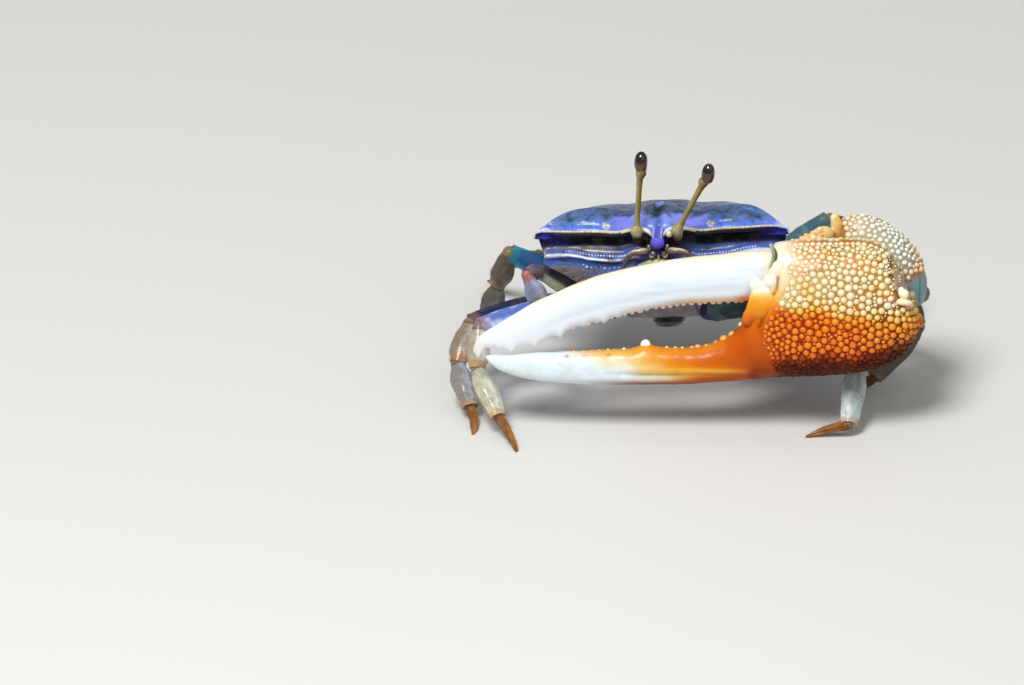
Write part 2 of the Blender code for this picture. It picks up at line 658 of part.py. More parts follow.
# The grains on the palm: where they lie along it and up it, how many, how large, and how near its edges.
GRAIN_SEED, GRAIN_SCATTER, GRAIN_SINK = 7, 0.2, 0.3
GRAIN_LOW_MARGIN, GRAIN_HIGH_MARGIN = 1.1, 0.9
GRAIN_PLACES, GRAIN_STEPS = (12.4, 29.9), 11
GRAIN_HEIGHTS, GRAIN_ROWS = (-5.5, 9.1), 10
GRAIN_RADII = (0.48, 0.66)
CREST_PLACES, CREST_GRAINS = (15.0, 27.4), 9
LOWER_TEETH, UPPER_TEETH = (-11.5, 8.6, 15), (-20.3, 9.2, 21)
KNOB_PLACE, KNOB_RADIUS = -2.1, 0.62
UPPER_FANGS = ((-18.0, 0.36), (-15.3, 0.55), (-12.2, 0.45))


def outline_loft(top, bottom, outer, inner, stations, sides, power):
    """A flattish body drawn between a top and a bottom line, with an outer and an inner bulge."""
    rings = []
    for place in stations:
        high, low = read_curve(top, place), read_curve(bottom, place)
        middle, half = (high + low) / 2, max((high - low) / 2, 0.08)
        bulge_out, bulge_in = read_curve(outer, place), read_curve(inner, place)
        ring = []
        for across, up in section(sides, 1.0, half, power, (0.0, middle)):
            ring.append((place, across * (bulge_in if across > 0 else bulge_out), up))
        rings.append(ring)
    return skin(rings)


def bead(parent, place, radius, surface, squash=1.0):
    """A small round grain, tooth or knob."""
    shape = bmesh.new()
    bmesh.ops.create_icosphere(shape, subdivisions=1, radius=radius * MM)
    for vert in shape.verts:
        vert.co.z *= squash
    mesh = bpy.data.meshes.new("bead")
    shape.to_mesh(mesh)
    shape.free()
    return place_piece("bead", mesh, surface, parent, Vector(place))


def teeth(claw, line, row, inward, big, surface):
    """A row of round teeth along a biting edge, alternately larger and smaller, with some big ones."""
    low, high, count = row
    made = []
    for step in range(count):
        place = between(low, high, step / (count - 1))
        radius = 0.34 if step % 2 else 0.42
        made.append(bead(claw, (place, 0.0, read_curve(line, place) + 0.05 * inward), radius, surface))
    for place, radius in big:
        height = read_curve(line, place) + 0.6 * radius * inward
        made.append(bead(claw, (place, 0.0, height), radius, surface, 1.1))
    return made


def hand_shape():
    """The smooth palm with its fixed finger."""
    return outline_loft(HAND_TOP, HAND_BOTTOM, HAND_OUTER, HAND_INNER, HAND_STATIONS, 20, HAND_POWER)


def room_for(mesh, parent):
    """A shape grown by the width of a joint, which cuts what lies against it."""
    grown = [vert.co + vert.normal * (JOINT_GAP + 0.03) * MM for vert in mesh.vertices]
    for vert, place in zip(mesh.vertices, grown):
        vert.co = place
    room = bpy.data.objects.new("room", mesh)
    bpy.context.scene.collection.objects.link(room)
    room.parent = parent
    room.hide_render = True
    room.display_type = "WIRE"
    return room


def hand_face(place, height, outward):
    """A point on the hand's outer (-1) or inner (1) face, over a place along it and a height."""
    high, low = read_curve(HAND_TOP, place), read_curve(HAND_BOTTOM, place)
    share = (2 * height - high - low) / (high - low)
    bulge = read_curve(HAND_OUTER if outward < 0 else HAND_INNER, place)
    depth = bulge * (1 - abs(share) ** HAND_POWER) ** (1 / HAND_POWER)
    return Vector((place, outward * depth, height))


def grains(claw, surface):
    """The grains over the palm's outer face, and the row of them along its crest."""
    chance = random.Random(GRAIN_SEED)
    made = []
    for row in range(GRAIN_ROWS):
        height = between(*GRAIN_HEIGHTS, row / (GRAIN_ROWS - 1))
        for step in range(GRAIN_STEPS):
            place = between(*GRAIN_PLACES, (step + 0.5 * (row % 2)) / GRAIN_STEPS)
            place += chance.uniform(-1, 1) * GRAIN_SCATTER
            level = height + chance.uniform(-1, 1) * GRAIN_SCATTER
            radius = between(*GRAIN_RADII, chance.random())
            lowest = read_curve(HAND_BOTTOM, place) + GRAIN_LOW_MARGIN
            highest = read_curve(HAND_TOP, place) - GRAIN_HIGH_MARGIN
            foremost = GRAIN_PLACES[0] + 0.12 * abs(level - 2.0)
            if place > foremost and lowest < level < highest:
                at = hand_face(place, level, -1) + Vector((0, GRAIN_SINK * radius, 0))
                made.append(bead(claw, at, radius, surface))
    for step in range(CREST_GRAINS):
        place = between(*CREST_PLACES, step / (CREST_GRAINS - 1))
        made.append(bead(claw, (place, -0.5, read_curve(HAND_TOP, place) - 0.1), GRAIN_RADII[0], surface))
    return made


def great_hand(claw, surface, finger_surface):
    """The palm with its fixed finger, parted into two by a thin cut."""
    palm = place_piece("major_palm", hand_shape(), surface, claw)
    knob = ((KNOB_PLACE, KNOB_RADIUS),)
    fuse(palm, teeth(claw, HAND_TOP, LOWER_TEETH, 1, knob, surface) + grains(claw, surface))
    finger = place_piece("major_pollex", palm.data.copy(), finger_surface, claw)
    gap = JOINT_GAP / 2
    cut(palm, block(claw, (-40, -20, -20), (HAND_CUT + gap, 20, 20)))
    cut(finger, block(claw, (HAND_CUT - gap, -20, -20), (50, 20, 20)))


def great_finger(claw, surface):
    """The movable upper finger."""
    whole = outline_loft(
        FINGER_TOP, FINGER_BOTTOM, FINGER_THICKNESS, FINGER_THICKNESS, FINGER_STATIONS, 16, 2.2
    )
    piece = place_piece("major_dactyl", whole, surface, claw)
    fuse(piece, teeth(claw, FINGER_BOTTOM, UPPER_TEETH, -1, UPPER_FANGS, surface))
    return cut(piece, room_for(hand_shape(), claw))


# The wrist piece, as places along X with the height of its top and of its underside, and its depth.
CARPUS_DEPTH = -12.2
CARPUS_TOP = (
    (20.8, 22.0), (21.4, 23.7), (22.3, 24.3), (23.7, 24.4), (24.8, 24.0), (26.4, 23.2), (28.1, 22.0),
    (29.4, 20.6), (30.5, 18.8), (31.2, 17.0), (31.4, 15.9),
)
CARPUS_BOTTOM = (
    (20.8, 20.6), (21.6, 18.0), (23.5, 15.2), (26.0, 13.8), (29.0, 13.4), (30.8, 13.9), (31.4, 14.9),
)
CARPUS_OUTER = ((20.8, 0.5), (22.0, 2.0), (24.0, 3.0), (28.0, 3.4), (30.5, 2.4), (31.4, 0.8))
CARPUS_INNER = ((20.8, 0.7), (22.0, 2.3), (24.0, 3.5), (27.0, 4.0), (29.5, 3.2), (30.8, 1.8), (31.4, 0.7))
CARPUS_STATIONS = (20.8, 21.2, 22.0, 23.2, 24.8, 26.5, 28.2, 29.6, 30.6, 31.2, 31.4)
CARPUS_GRAINS = 26
CARPUS_GRAIN_ANGLES = (62, 95, 128, 80, 112)
KNUCKLE_LINE = ((22.8, -12.0, 20.4), (21.1, -12.5, 21.6), (20.4, -12.8, 24.6))
KNUCKLE_RADII = (0.9, 0.85, 0.8, 0.8, 0.85, 0.5)
ARM_KNOTS = (
    (9.0, -11.9, 12.9), (15.5, -12.0, 13.2), (22.5, -10.9, 12.8), (27.4, -9.7, 12.7), (30.8, -9.2, 12.9),
)
ARM_RADII = (1.35, 1.75, 1.95, 2.05, 2.05, 2.1, 2.15, 2.0, 1.2)


def carpus_grains(crab, surface):
    """The grains over the top and the outer side of the wrist piece."""
    chance = random.Random(GRAIN_SEED)
    made = []
    for step in range(CARPUS_GRAINS):
        place = between(CARPUS_TOP[1][0] + 0.6, CARPUS_TOP[-1][0] - 1.0, (step + 0.5) / CARPUS_GRAINS)
        high, low = read_curve(CARPUS_TOP, place), read_curve(CARPUS_BOTTOM, place)
        angle = math.radians(CARPUS_GRAIN_ANGLES[step % len(CARPUS_GRAIN_ANGLES)] + chance.uniform(-5, 5))
        outward = math.cos(angle) > 0
        bulge = read_curve(CARPUS_OUTER if outward else CARPUS_INNER, place)
        depth = CARPUS_DEPTH - math.cos(angle) * bulge * 0.95
        height = (high + low) / 2 + math.sin(angle) * (high - low) / 2 * 0.97
        made.append(bead(crab, (place, depth, height), between(*GRAIN_RADII, chance.random()), surface))
    return made


def great_arm(crab, claw, arm_surface, carpus_surface):
    """The arm behind the great claw, and the rounded wrist piece over the palm's shoulder."""
    root = from_body(CLAW_ROOT, 1)
    line = smooth_line((root, *ARM_KNOTS), len(ARM_RADII))
    mesh = tube(line, ARM_RADII, 12, across=Vector((0, 0, 1)), flatness=0.85)
    merus = place_piece("major_merus", mesh, arm_surface, crab)
    mesh = outline_loft(CARPUS_TOP, CARPUS_BOTTOM, CARPUS_OUTER, CARPUS_INNER, CARPUS_STATIONS, 14, 2.2)
    piece = place_piece("major_carpus", mesh, carpus_surface, crab, Vector((0, CARPUS_DEPTH, 0)))
    rod = smooth_line(KNUCKLE_LINE, len(KNUCKLE_RADII))
    knob = place_piece("knob", tube(rod, KNUCKLE_RADII, 8), carpus_surface, crab)
    fuse(piece, [knob] + carpus_grains(crab, carpus_surface))
    cut(piece, room_for(hand_shape(), claw))
    cut(piece, room_for(merus.data.copy(), crab))


def build():
    """Makes the whole crab."""
    clear_scene()
    shell = material("blue shell", SHELL_COLOUR, 0.3)
    belly = material("under shell", BELLY_COLOUR, 0.4)
    stalk = material("eyestalk", STALK_COLOUR, 0.35)
    eye = material("eye", EYE_COLOUR, 0.1)
    mouth = material("mouth plate", MOUTH_COLOUR, 0.35)
    leg = material("leg shell", LEG_COLOUR, 0.35)
    toe = material("toe horn", TOE_COLOUR, 0.4)
    palm = material("beaded palm", PALM_COLOUR, 0.35)
    finger = material("white finger", FINGER_COLOUR, 0.3)
    arm = material("arm shell", ARM_COLOUR, 0.35)

    crab = empty("crab", -FLOOR_CENTRE, Matrix.Identity(3))
    body = empty("body", BODY_PLACE, body_matrix(), crab)
    claw = empty("great_claw", CLAW_PLACE, Matrix.Rotation(CLAW_LEAN, 3, "X"), crab)

    carapace(body, shell)
    underbody(crab, body, belly)
    abdomen(body, belly)
    for side in SIDES:
        eyestalk(body, side, stalk, eye)
        antenna(body, side, stalk)
        mouthpart(body, side, mouth)
    for (side, number), joints in LEGS.items():
        walking_leg(crab, side, number, joints, leg, toe)
    small_claw(crab, arm, finger)
    great_hand(claw, palm, finger)
    great_finger(claw, finger)
    great_arm(crab, claw, arm, palm)


build()
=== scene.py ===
"""The looks of a life-size male fiddler crab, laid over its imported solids.

The crab faces -Y with +Z up, and its great claw is on its left, at +X. Every size is in millimetres
until a piece is finished, which turns it to metres in the frame of the solids.
"""

import logging
import math
import random
from dataclasses import dataclass
from enum import Enum

import bpy
import numpy as np
from mathutils import Matrix, Vector, kdtree, noise


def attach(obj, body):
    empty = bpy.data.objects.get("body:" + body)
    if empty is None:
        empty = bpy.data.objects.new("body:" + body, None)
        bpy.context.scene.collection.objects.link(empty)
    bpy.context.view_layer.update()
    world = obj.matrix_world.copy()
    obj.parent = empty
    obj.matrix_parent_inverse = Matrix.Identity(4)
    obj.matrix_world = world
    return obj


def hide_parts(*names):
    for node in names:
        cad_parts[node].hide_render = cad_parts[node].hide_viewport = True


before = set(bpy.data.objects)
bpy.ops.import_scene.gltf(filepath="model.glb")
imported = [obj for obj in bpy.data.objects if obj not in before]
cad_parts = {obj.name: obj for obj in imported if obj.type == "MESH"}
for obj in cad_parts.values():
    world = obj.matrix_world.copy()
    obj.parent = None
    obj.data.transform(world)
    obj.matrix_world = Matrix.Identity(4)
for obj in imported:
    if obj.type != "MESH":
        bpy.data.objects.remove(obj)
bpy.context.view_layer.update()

MM = 0.001
ROOT = "root"
LOG = logging.getLogger("fiddler_crab")

# The driving sizes of the animal, as in its solids.
SHELL_WIDTH = 30.0
SHELL_LENGTH = 0.643 * SHELL_WIDTH
DOME_HEIGHT = 0.093 * SHELL_WIDTH
HALF_WIDTH = SHELL_WIDTH / 2
FLOOR_CENTRE = Vector((3.0, -2.7, 0.0))


# Small sums


def linear(code: str) -> np.ndarray:
    """Turns a colour as the eye sees it to the light that Blender reckons with.

    Args:
        code: The sRGB colour as six hex digits after a hash sign.

    Returns:
        The linear red, green and blue.
    """
    parts = np.array([int(code[i:i + 2], 16) for i in (1, 3, 5)]) / 255
    return np.where(parts <= 0.04045, parts / 12.92, ((parts + 0.055) / 1.055) ** 2.4)


def rise(low: float, high: float, values: np.ndarray) -> np.ndarray:
    """A smooth step from nothing at low to one at high, which may be the smaller of the two."""
    part = np.clip((values - low) / (high - low), 0, 1)
    return part * part * (3 - 2 * part)


def hump(values: np.ndarray, middle: float, width: float) -> np.ndarray:
    """A rounded hump of height one about a middle value."""
    return np.exp(-((values - middle) / width) ** 2)


def drift(points: np.ndarray, size: float, seed: float = 0.0) -> np.ndarray:
    """A cloudy field over points.

    Args:
        points: The places, in millimetres.
        size: How wide one cloud is, in millimetres.
        seed: Shifts the clouds, so that two fields differ.

    Returns:
        A value for each point, from about -1 to 1.
    """
    shift = Vector((seed, 2.3 * seed, -1.7 * seed))
    return np.array([noise.noise(Vector(point) / size + shift) for point in points]) * 1.6


def curve(knots: tuple, at: np.ndarray) -> np.ndarray:
    """A smooth curve through (place, value) knots.

    Args:
        knots: The knots, in rising order of place.
        at: The places to read it at.

    Returns:
        The value at each place, held level beyond the ends.
    """
    x, y = np.array(knots, float).T
    at = np.clip(np.asarray(at, float), x[0], x[-1])
    slopes = np.empty(len(x))
    slopes[1:-1] = (y[2:] - y[:-2]) / (x[2:] - x[:-2])
    slopes[0] = (y[1] - y[0]) / (x[1] - x[0])
    slopes[-1] = (y[-1] - y[-2]) / (x[-1] - x[-2])
    index = np.clip(np.searchsorted(x, at, side="right") - 1, 0, len(x) - 2)
    span = x[index + 1] - x[index]
    t = (at - x[index]) / span
    start, end = slopes[index] * span, slopes[index + 1] * span
    return (
        (2 * t**3 - 3 * t**2 + 1) * y[index]
        + (t**3 - 2 * t**2 + t) * start
        + (3 * t**2 - 2 * t**3) * y[index + 1]
        + (t**3 - t**2) * end
    )


def refined(stations: tuple, times: int) -> np.ndarray:
    """The same stations with more set evenly between each two."""
    count = (len(stations) - 1) * times + 1
    return np.interp(np.linspace(0, len(stations) - 1, count), range(len(stations)), stations)


# Frames


@dataclass(frozen=True)
class Place:
    """A frame that pieces are modelled in: where it stands from the crab's origin, and its turn."""

    at: Vector
    turn: Matrix

    def matrix(self) -> Matrix:
        """From this frame's millimetres to metres in the frame of the solids."""
        return Matrix.Scale(MM, 4) @ Matrix.Translation(self.at - FLOOR_CENTRE) @ self.turn.to_4x4()

    def out(self, point: tuple) -> Vector:
        """A point of this frame in the crab's own frame, still in millimetres."""
        return self.at + self.turn @ Vector(point)


def turned(degrees: float, axis: str) -> Matrix:
    """A turn about one axis."""
    return Matrix.Rotation(math.radians(degrees), 3, axis)


CRAB = Place(Vector((0, 0, 0)), Matrix.Identity(3))
BODY = Place(Vector((-0.6, -9.5, 19.5)), turned(-4.5, "Z") @ turned(-13.0, "X") @ turned(-3.6, "Y"))
CLAW = Place(Vector((0.0, -18.5, 13.2)), turned(-13.0, "X"))


class Side(Enum):
    """The two sides of the animal, by the sign of their X."""

    LEFT = 1
    RIGHT = -1

    def label(self) -> str:
        """The side's word in the names of pieces."""
        return self.name.lower()

    def point(self, place: tuple) -> tuple:
        """A place given for the left side, set on this one."""
        return (place[0] * self.value, place[1], place[2])


# Modelling


class Clay:
    """A piece's points as arrays, to be moved and painted before the piece is set in its place."""

    def __init__(self, piece: bpy.types.Object, base: str = "#808080") -> None:
        """Reads the points and their normals.

        Args:
            piece: The piece to work on, still in its own frame.
            base: The colour that lies under all others.
        """
        self.piece = piece
        self.mesh = piece.data
        count = len(self.mesh.vertices)
        flat = np.empty(count * 3, np.float32)
        self.mesh.vertices.foreach_get("co", flat)
        self.points = flat.reshape(-1, 3).astype(float)
        self.read_normals()
        self.colour = np.tile(linear(base), (count, 1))

    @property
    def x(self) -> np.ndarray:
        """How far to +X each point lies."""
        return self.points[:, 0]

    @property
    def y(self) -> np.ndarray:
        """How far to +Y each point lies."""
        return self.points[:, 1]

    @property
    def z(self) -> np.ndarray:
        """How far up each point lies."""
        return self.points[:, 2]

    def read_normals(self) -> None:
        """Reads the direction that the surface faces at each point."""
        flat = np.empty(len(self.mesh.vertices) * 3, np.float32)
        self.mesh.vertex_normals.foreach_get("vector", flat)
        self.normals = flat.reshape(-1, 3).astype(float)

    def store(self) -> None:
        """Writes the points back to the mesh."""
        self.mesh.vertices.foreach_set("co", self.points.astype(np.float32).ravel())
        self.mesh.update()

    def push(self, amounts: np.ndarray) -> None:
        """Moves each point along its normal by its amount, in millimetres."""
        self.points = self.points + self.normals * amounts[:, None]
        self.store()
        self.read_normals()

    def near(self, centre: tuple, radius: float) -> np.ndarray:
        """A hump of height one about a point, and of nothing a radius and a half away."""
        away = np.linalg.norm(self.points - np.array(centre), axis=1)
        return np.exp(-((away / radius) ** 2) * 1.6)

    def near_line(self, knots: list, width: float, axes: tuple = (0, 2)) -> np.ndarray:
        """A hump of height one along a broken line, seen square on to two of the axes.

        Args:
            knots: The line's corners, by those two axes.
            width: Half the width of the hump.
            axes: Which two axes the line is drawn on.

        Returns:
            The hump's height at each point.
        """
        flat = self.points[:, axes]
        best = np.full(len(flat), 1e9)
        for start, end in zip(knots, knots[1:]):
            start, way = np.array(start), np.array(end) - np.array(start)
            part = np.clip((flat - start) @ way / (way @ way), 0, 1)
            best = np.minimum(best, np.linalg.norm(flat - start - part[:, None] * way, axis=1))
        return np.exp(-((best / width) ** 2))

    def coat(self, code: str, share: np.ndarray) -> None:
        """Lays one colour over what is there, by a share at each point."""
        share = np.clip(share, 0, 1)[:, None]
        self.colour = self.colour * (1 - share) + linear(code) * share

    def ramp(self, stops: list, values: np.ndarray, share: np.ndarray | float = 1.0) -> None:
        """Lays colours by a value at each point.

        Args:
            stops: Pairs of a value and its colour, in rising order.
            values: The value at each point.
            share: How strongly the colours cover what is there.
        """
        places = [stop[0] for stop in stops]
        colours = np.array([linear(stop[1]) for stop in stops])
        laid = np.stack([np.interp(values, places, colours[:, i]) for i in range(3)], axis=1)
        share = np.clip(np.broadcast_to(share, values.shape), 0, 1)[:, None]
        self.colour = self.colour * (1 - share) + laid * share

    def shade(self, factors: np.ndarray) -> None:
        """Makes the colour darker or lighter by a factor at each point."""
        self.colour = np.clip(self.colour * factors[:, None], 0, 1)

    def keep(self) -> bpy.types.Object:
        """Writes the colours as the piece's own paint, and returns the piece."""
        layer = self.mesh.color_attributes.new("paint", "FLOAT_COLOR", "POINT")
        full = np.concatenate([self.colour, np.ones((len(self.colour), 1))], axis=1)
        layer.data.foreach_set("color", full.astype(np.float32).ravel())
        return self.piece


def new_piece(name: str, points: np.ndarray, faces: list) -> bpy.types.Object:
    """Makes and links a piece from points and faces."""
    mesh = bpy.data.meshes.new(name)
    mesh.from_pydata([tuple(point) for point in points], [], faces)
    mesh.update()
    piece = bpy.data.objects.new(name, mesh)
    bpy.context.scene.collection.objects.link(piece)
    return piece


def pick_up(piece: bpy.types.Object) -> None:
    """Makes a piece the only one selected."""
    bpy.ops.object.select_all(action="DESELECT")
    piece.select_set(True)
    bpy.context.view_layer.objects.active = piece


def face_outwards(piece: bpy.types.Object) -> None:
    """Turns every face of a closed piece outwards."""
    pick_up(piece)
    bpy.ops.object.mode_set(mode="EDIT")
    bpy.ops.mesh.select_all(action="SELECT")
    bpy.ops.mesh.normals_make_consistent(inside=False)
    bpy.ops.object.mode_set(mode="OBJECT")


def soften(piece: bpy.types.Object, levels: int) -> bpy.types.Object:
    """Rounds a piece's cage to a smooth skin and keeps the result."""
    pick_up(piece)
    bpy.ops.object.modifier_add(type="SUBSURF")
    piece.modifiers[-1].levels = levels
    piece.modifiers[-1].render_levels = levels
    bpy.ops.object.modifier_apply(modifier=piece.modifiers[-1].name)
    return piece


def fuse(piece: bpy.types.Object, grain: float, rounds: int) -> bpy.types.Object:
    """Melts overlapping lumps into one skin with soft hollows between them.

    Args:
        piece: The lumps, joined as one piece.
        grain: How wide the new skin's faces are.
        rounds: How often the skin is smoothed.

    Returns:
        The same piece.
    """
    pick_up(piece)
    bpy.ops.object.modifier_add(type="REMESH")
    piece.modifiers[-1].mode = "VOXEL"
    piece.modifiers[-1].voxel_size = grain
    bpy.ops.object.modifier_apply(modifier=piece.modifiers[-1].name)
    bpy.ops.object.modifier_add(type="SMOOTH")
    piece.modifiers[-1].factor = 0.5
    piece.modifiers[-1].iterations = rounds
    bpy.ops.object.modifier_apply(modifier=piece.modifiers[-1].name)
    return piece


def loft(name: str, rings: list, poles: tuple = (None, None)) -> bpy.types.Object:
    """Lays a closed skin over rings of equal count, for outlines that no oval gives.

    Args:
        name: The piece's name.
        rings: The rings, each an array of points.
        poles: The points that close the first and the last ring, or None for their middles.

    Returns:
        The new piece.
    """
    count = len(rings[0])
    points = np.concatenate([np.asarray(ring, float) for ring in rings])
    faces = []
    for row in range(len(rings) - 1):
        for step in range(count):
            near, after = row * count + step, row * count + (step + 1) % count
            faces.append((near, after, after + count, near + count))
    for row, pole in ((0, poles[0]), (len(rings) - 1, poles[1])):
        tip = np.asarray(rings[row], float).mean(axis=0) if pole is None else np.array(pole, float)
        points = np.vstack([points, tip])
        for step in range(count):
            faces.append((row * count + step, row * count + (step + 1) % count, len(points) - 1))
    piece = new_piece(name, points, faces)
    face_outwards(piece)
    return piece


@dataclass(frozen=True)
class Section:
    """One oval cut through a drawn-out form: how far along it lies, its half sizes and its middle."""

    along: float
    half_across: float
    half_up: float
    across: float = 0.0
    up: float = 0.0

    def middle(self) -> Vector:
        """The middle of the section while the form stands on end."""
        return Vector((self.across, self.up, self.along))


# Turns a form drawn out along +Z so that it lies along +X, its across at +Y and its up at +Z.
LAID_DOWN = Matrix(((0, 0, 1), (1, 0, 0), (0, 1, 0))).to_4x4()


def draw_out(name: str, sections: list, sides: int, levels: int, lie: bool = True) -> bpy.types.Object:
    """Draws a form out of a disc, section by section, and rounds it.

    Args:
        name: The piece's name.
        sections: The ovals in order along the form.
        sides: How many corners the cage has round it.
        levels: How many times the cage is divided.
        lie: Whether the form is laid down along +X, or left standing along +Z.

    Returns:
        The new piece.
    """
    first = sections[0]
    bpy.ops.object.select_all(action="DESELECT")
    bpy.ops.mesh.primitive_circle_add(vertices=sides, radius=1.0, fill_type="NGON", enter_editmode=True)
    bpy.ops.transform.resize(value=(first.half_across, first.half_up, 1.0), center_override=(0, 0, 0))
    bpy.ops.transform.translate(value=first.middle())
    for before, after in zip(sections, sections[1:]):
        step = after.middle() - before.middle()
        bpy.ops.mesh.extrude_region_move(TRANSFORM_OT_translate={"value": step})
        wider = (after.half_across / before.half_across, after.half_up / before.half_up, 1.0)
        bpy.ops.transform.resize(value=wider, center_override=after.middle())
    bpy.ops.mesh.select_all(action="SELECT")
    bpy.ops.mesh.normals_make_consistent(inside=False)
    bpy.ops.object.mode_set(mode="OBJECT")
    piece = bpy.context.object
    piece.name = name
    piece.data.name = name
    if lie:
        piece.data.transform(LAID_DOWN)
    return soften(piece, levels)


def pebble(name: str, at: tuple, half: tuple, turn: Matrix | None = None, levels: int = 1) -> bpy.types.Object:
    """A rounded lump: a ball pressed to its half sizes, turned and set in place."""
    bpy.ops.object.select_all(action="DESELECT")
    bpy.ops.mesh.primitive_uv_sphere_add(segments=16, ring_count=10, radius=1.0, enter_editmode=True)
    bpy.ops.transform.resize(value=half, center_override=(0, 0, 0))
    bpy.ops.object.mode_set(mode="OBJECT")
    piece = bpy.context.object
    piece.name = name
    piece.data.name = name
    piece.data.transform(Matrix.Translation(at) @ (turn or Matrix.Identity(3)).to_4x4())
    return soften(piece, levels)


def copies(name: str, seed: bpy.types.Object, places: np.ndarray, sizes: np.ndarray) -> Clay:
    """Copies one modelled shape to many places as a single piece, and takes the shape away.

    Args:
        name: The new piece's name.
        seed: The modelled shape, about one millimetre in radius.
        places: Where each copy's middle goes.
        sizes: The half sizes of each copy, one row of three for each.

    Returns:
        The joined copies, with their owners: the number of the copy that each point belongs to.
    """
    shape = Clay(seed).points
    faces = [tuple(face.vertices) for face in seed.data.polygons]
    bpy.data.objects.remove(seed)
    points = (shape[None] * sizes[:, None, :] + places[:, None, :]).reshape(-1, 3)
    every = [tuple(i + copy * len(shape) for i in face) for copy in range(len(places)) for face in faces]
    clay = Clay(new_piece(name, points, every))
    clay.owners = np.repeat(np.arange(len(places)), len(shape))
    clay.shape = np.tile(shape, (len(places), 1))
    return clay


def bead_seed(levels: int = 2) -> bpy.types.Object:
    """One small round bead, slightly flattened as a shell's grain is."""
    bpy.ops.object.select_all(action="DESELECT")
    bpy.ops.mesh.primitive_ico_sphere_add(subdivisions=levels, radius=1.0, enter_editmode=True)
    bpy.ops.transform.resize(value=(1.0, 0.96, 0.98), center_override=(0, 0, 0))
    bpy.ops.object.mode_set(mode="OBJECT")
    return bpy.context.object


def merge(name: str, parts: list) -> bpy.types.Object:
    """Joins pieces that grow from one another into one."""
    pick_up(parts[0])
    for part in parts[1:]:
        part.select_set(True)
    bpy.ops.object.join()
    parts[0].name = name
    parts[0].data.name = name
    return parts[0]


# Finishes


def add_node(tree: bpy.types.NodeTree, kind: str, inputs: dict | None = None, **settings: object) -> bpy.types.Node:
    """Adds a node with its settings and links.

    Args:
        tree: The material's node tree.
        kind: The node's type.
        inputs: Values, or sockets to link from, by the name or number of the input.
        **settings: The node's own properties.

    Returns:
        The new node.
    """
    node = tree.nodes.new(kind)
    for key, value in settings.items():
        setattr(node, key, value)
    for key, value in (inputs or {}).items():
        if isinstance(value, bpy.types.NodeSocket):
            tree.links.new(value, node.inputs[key])
        else:
            node.inputs[key].default_value = value
    return node


def per_metre(size: float) -> float:
    """The scale of a pattern whose features are this many millimetres wide."""
    return 1 / (size * MM)


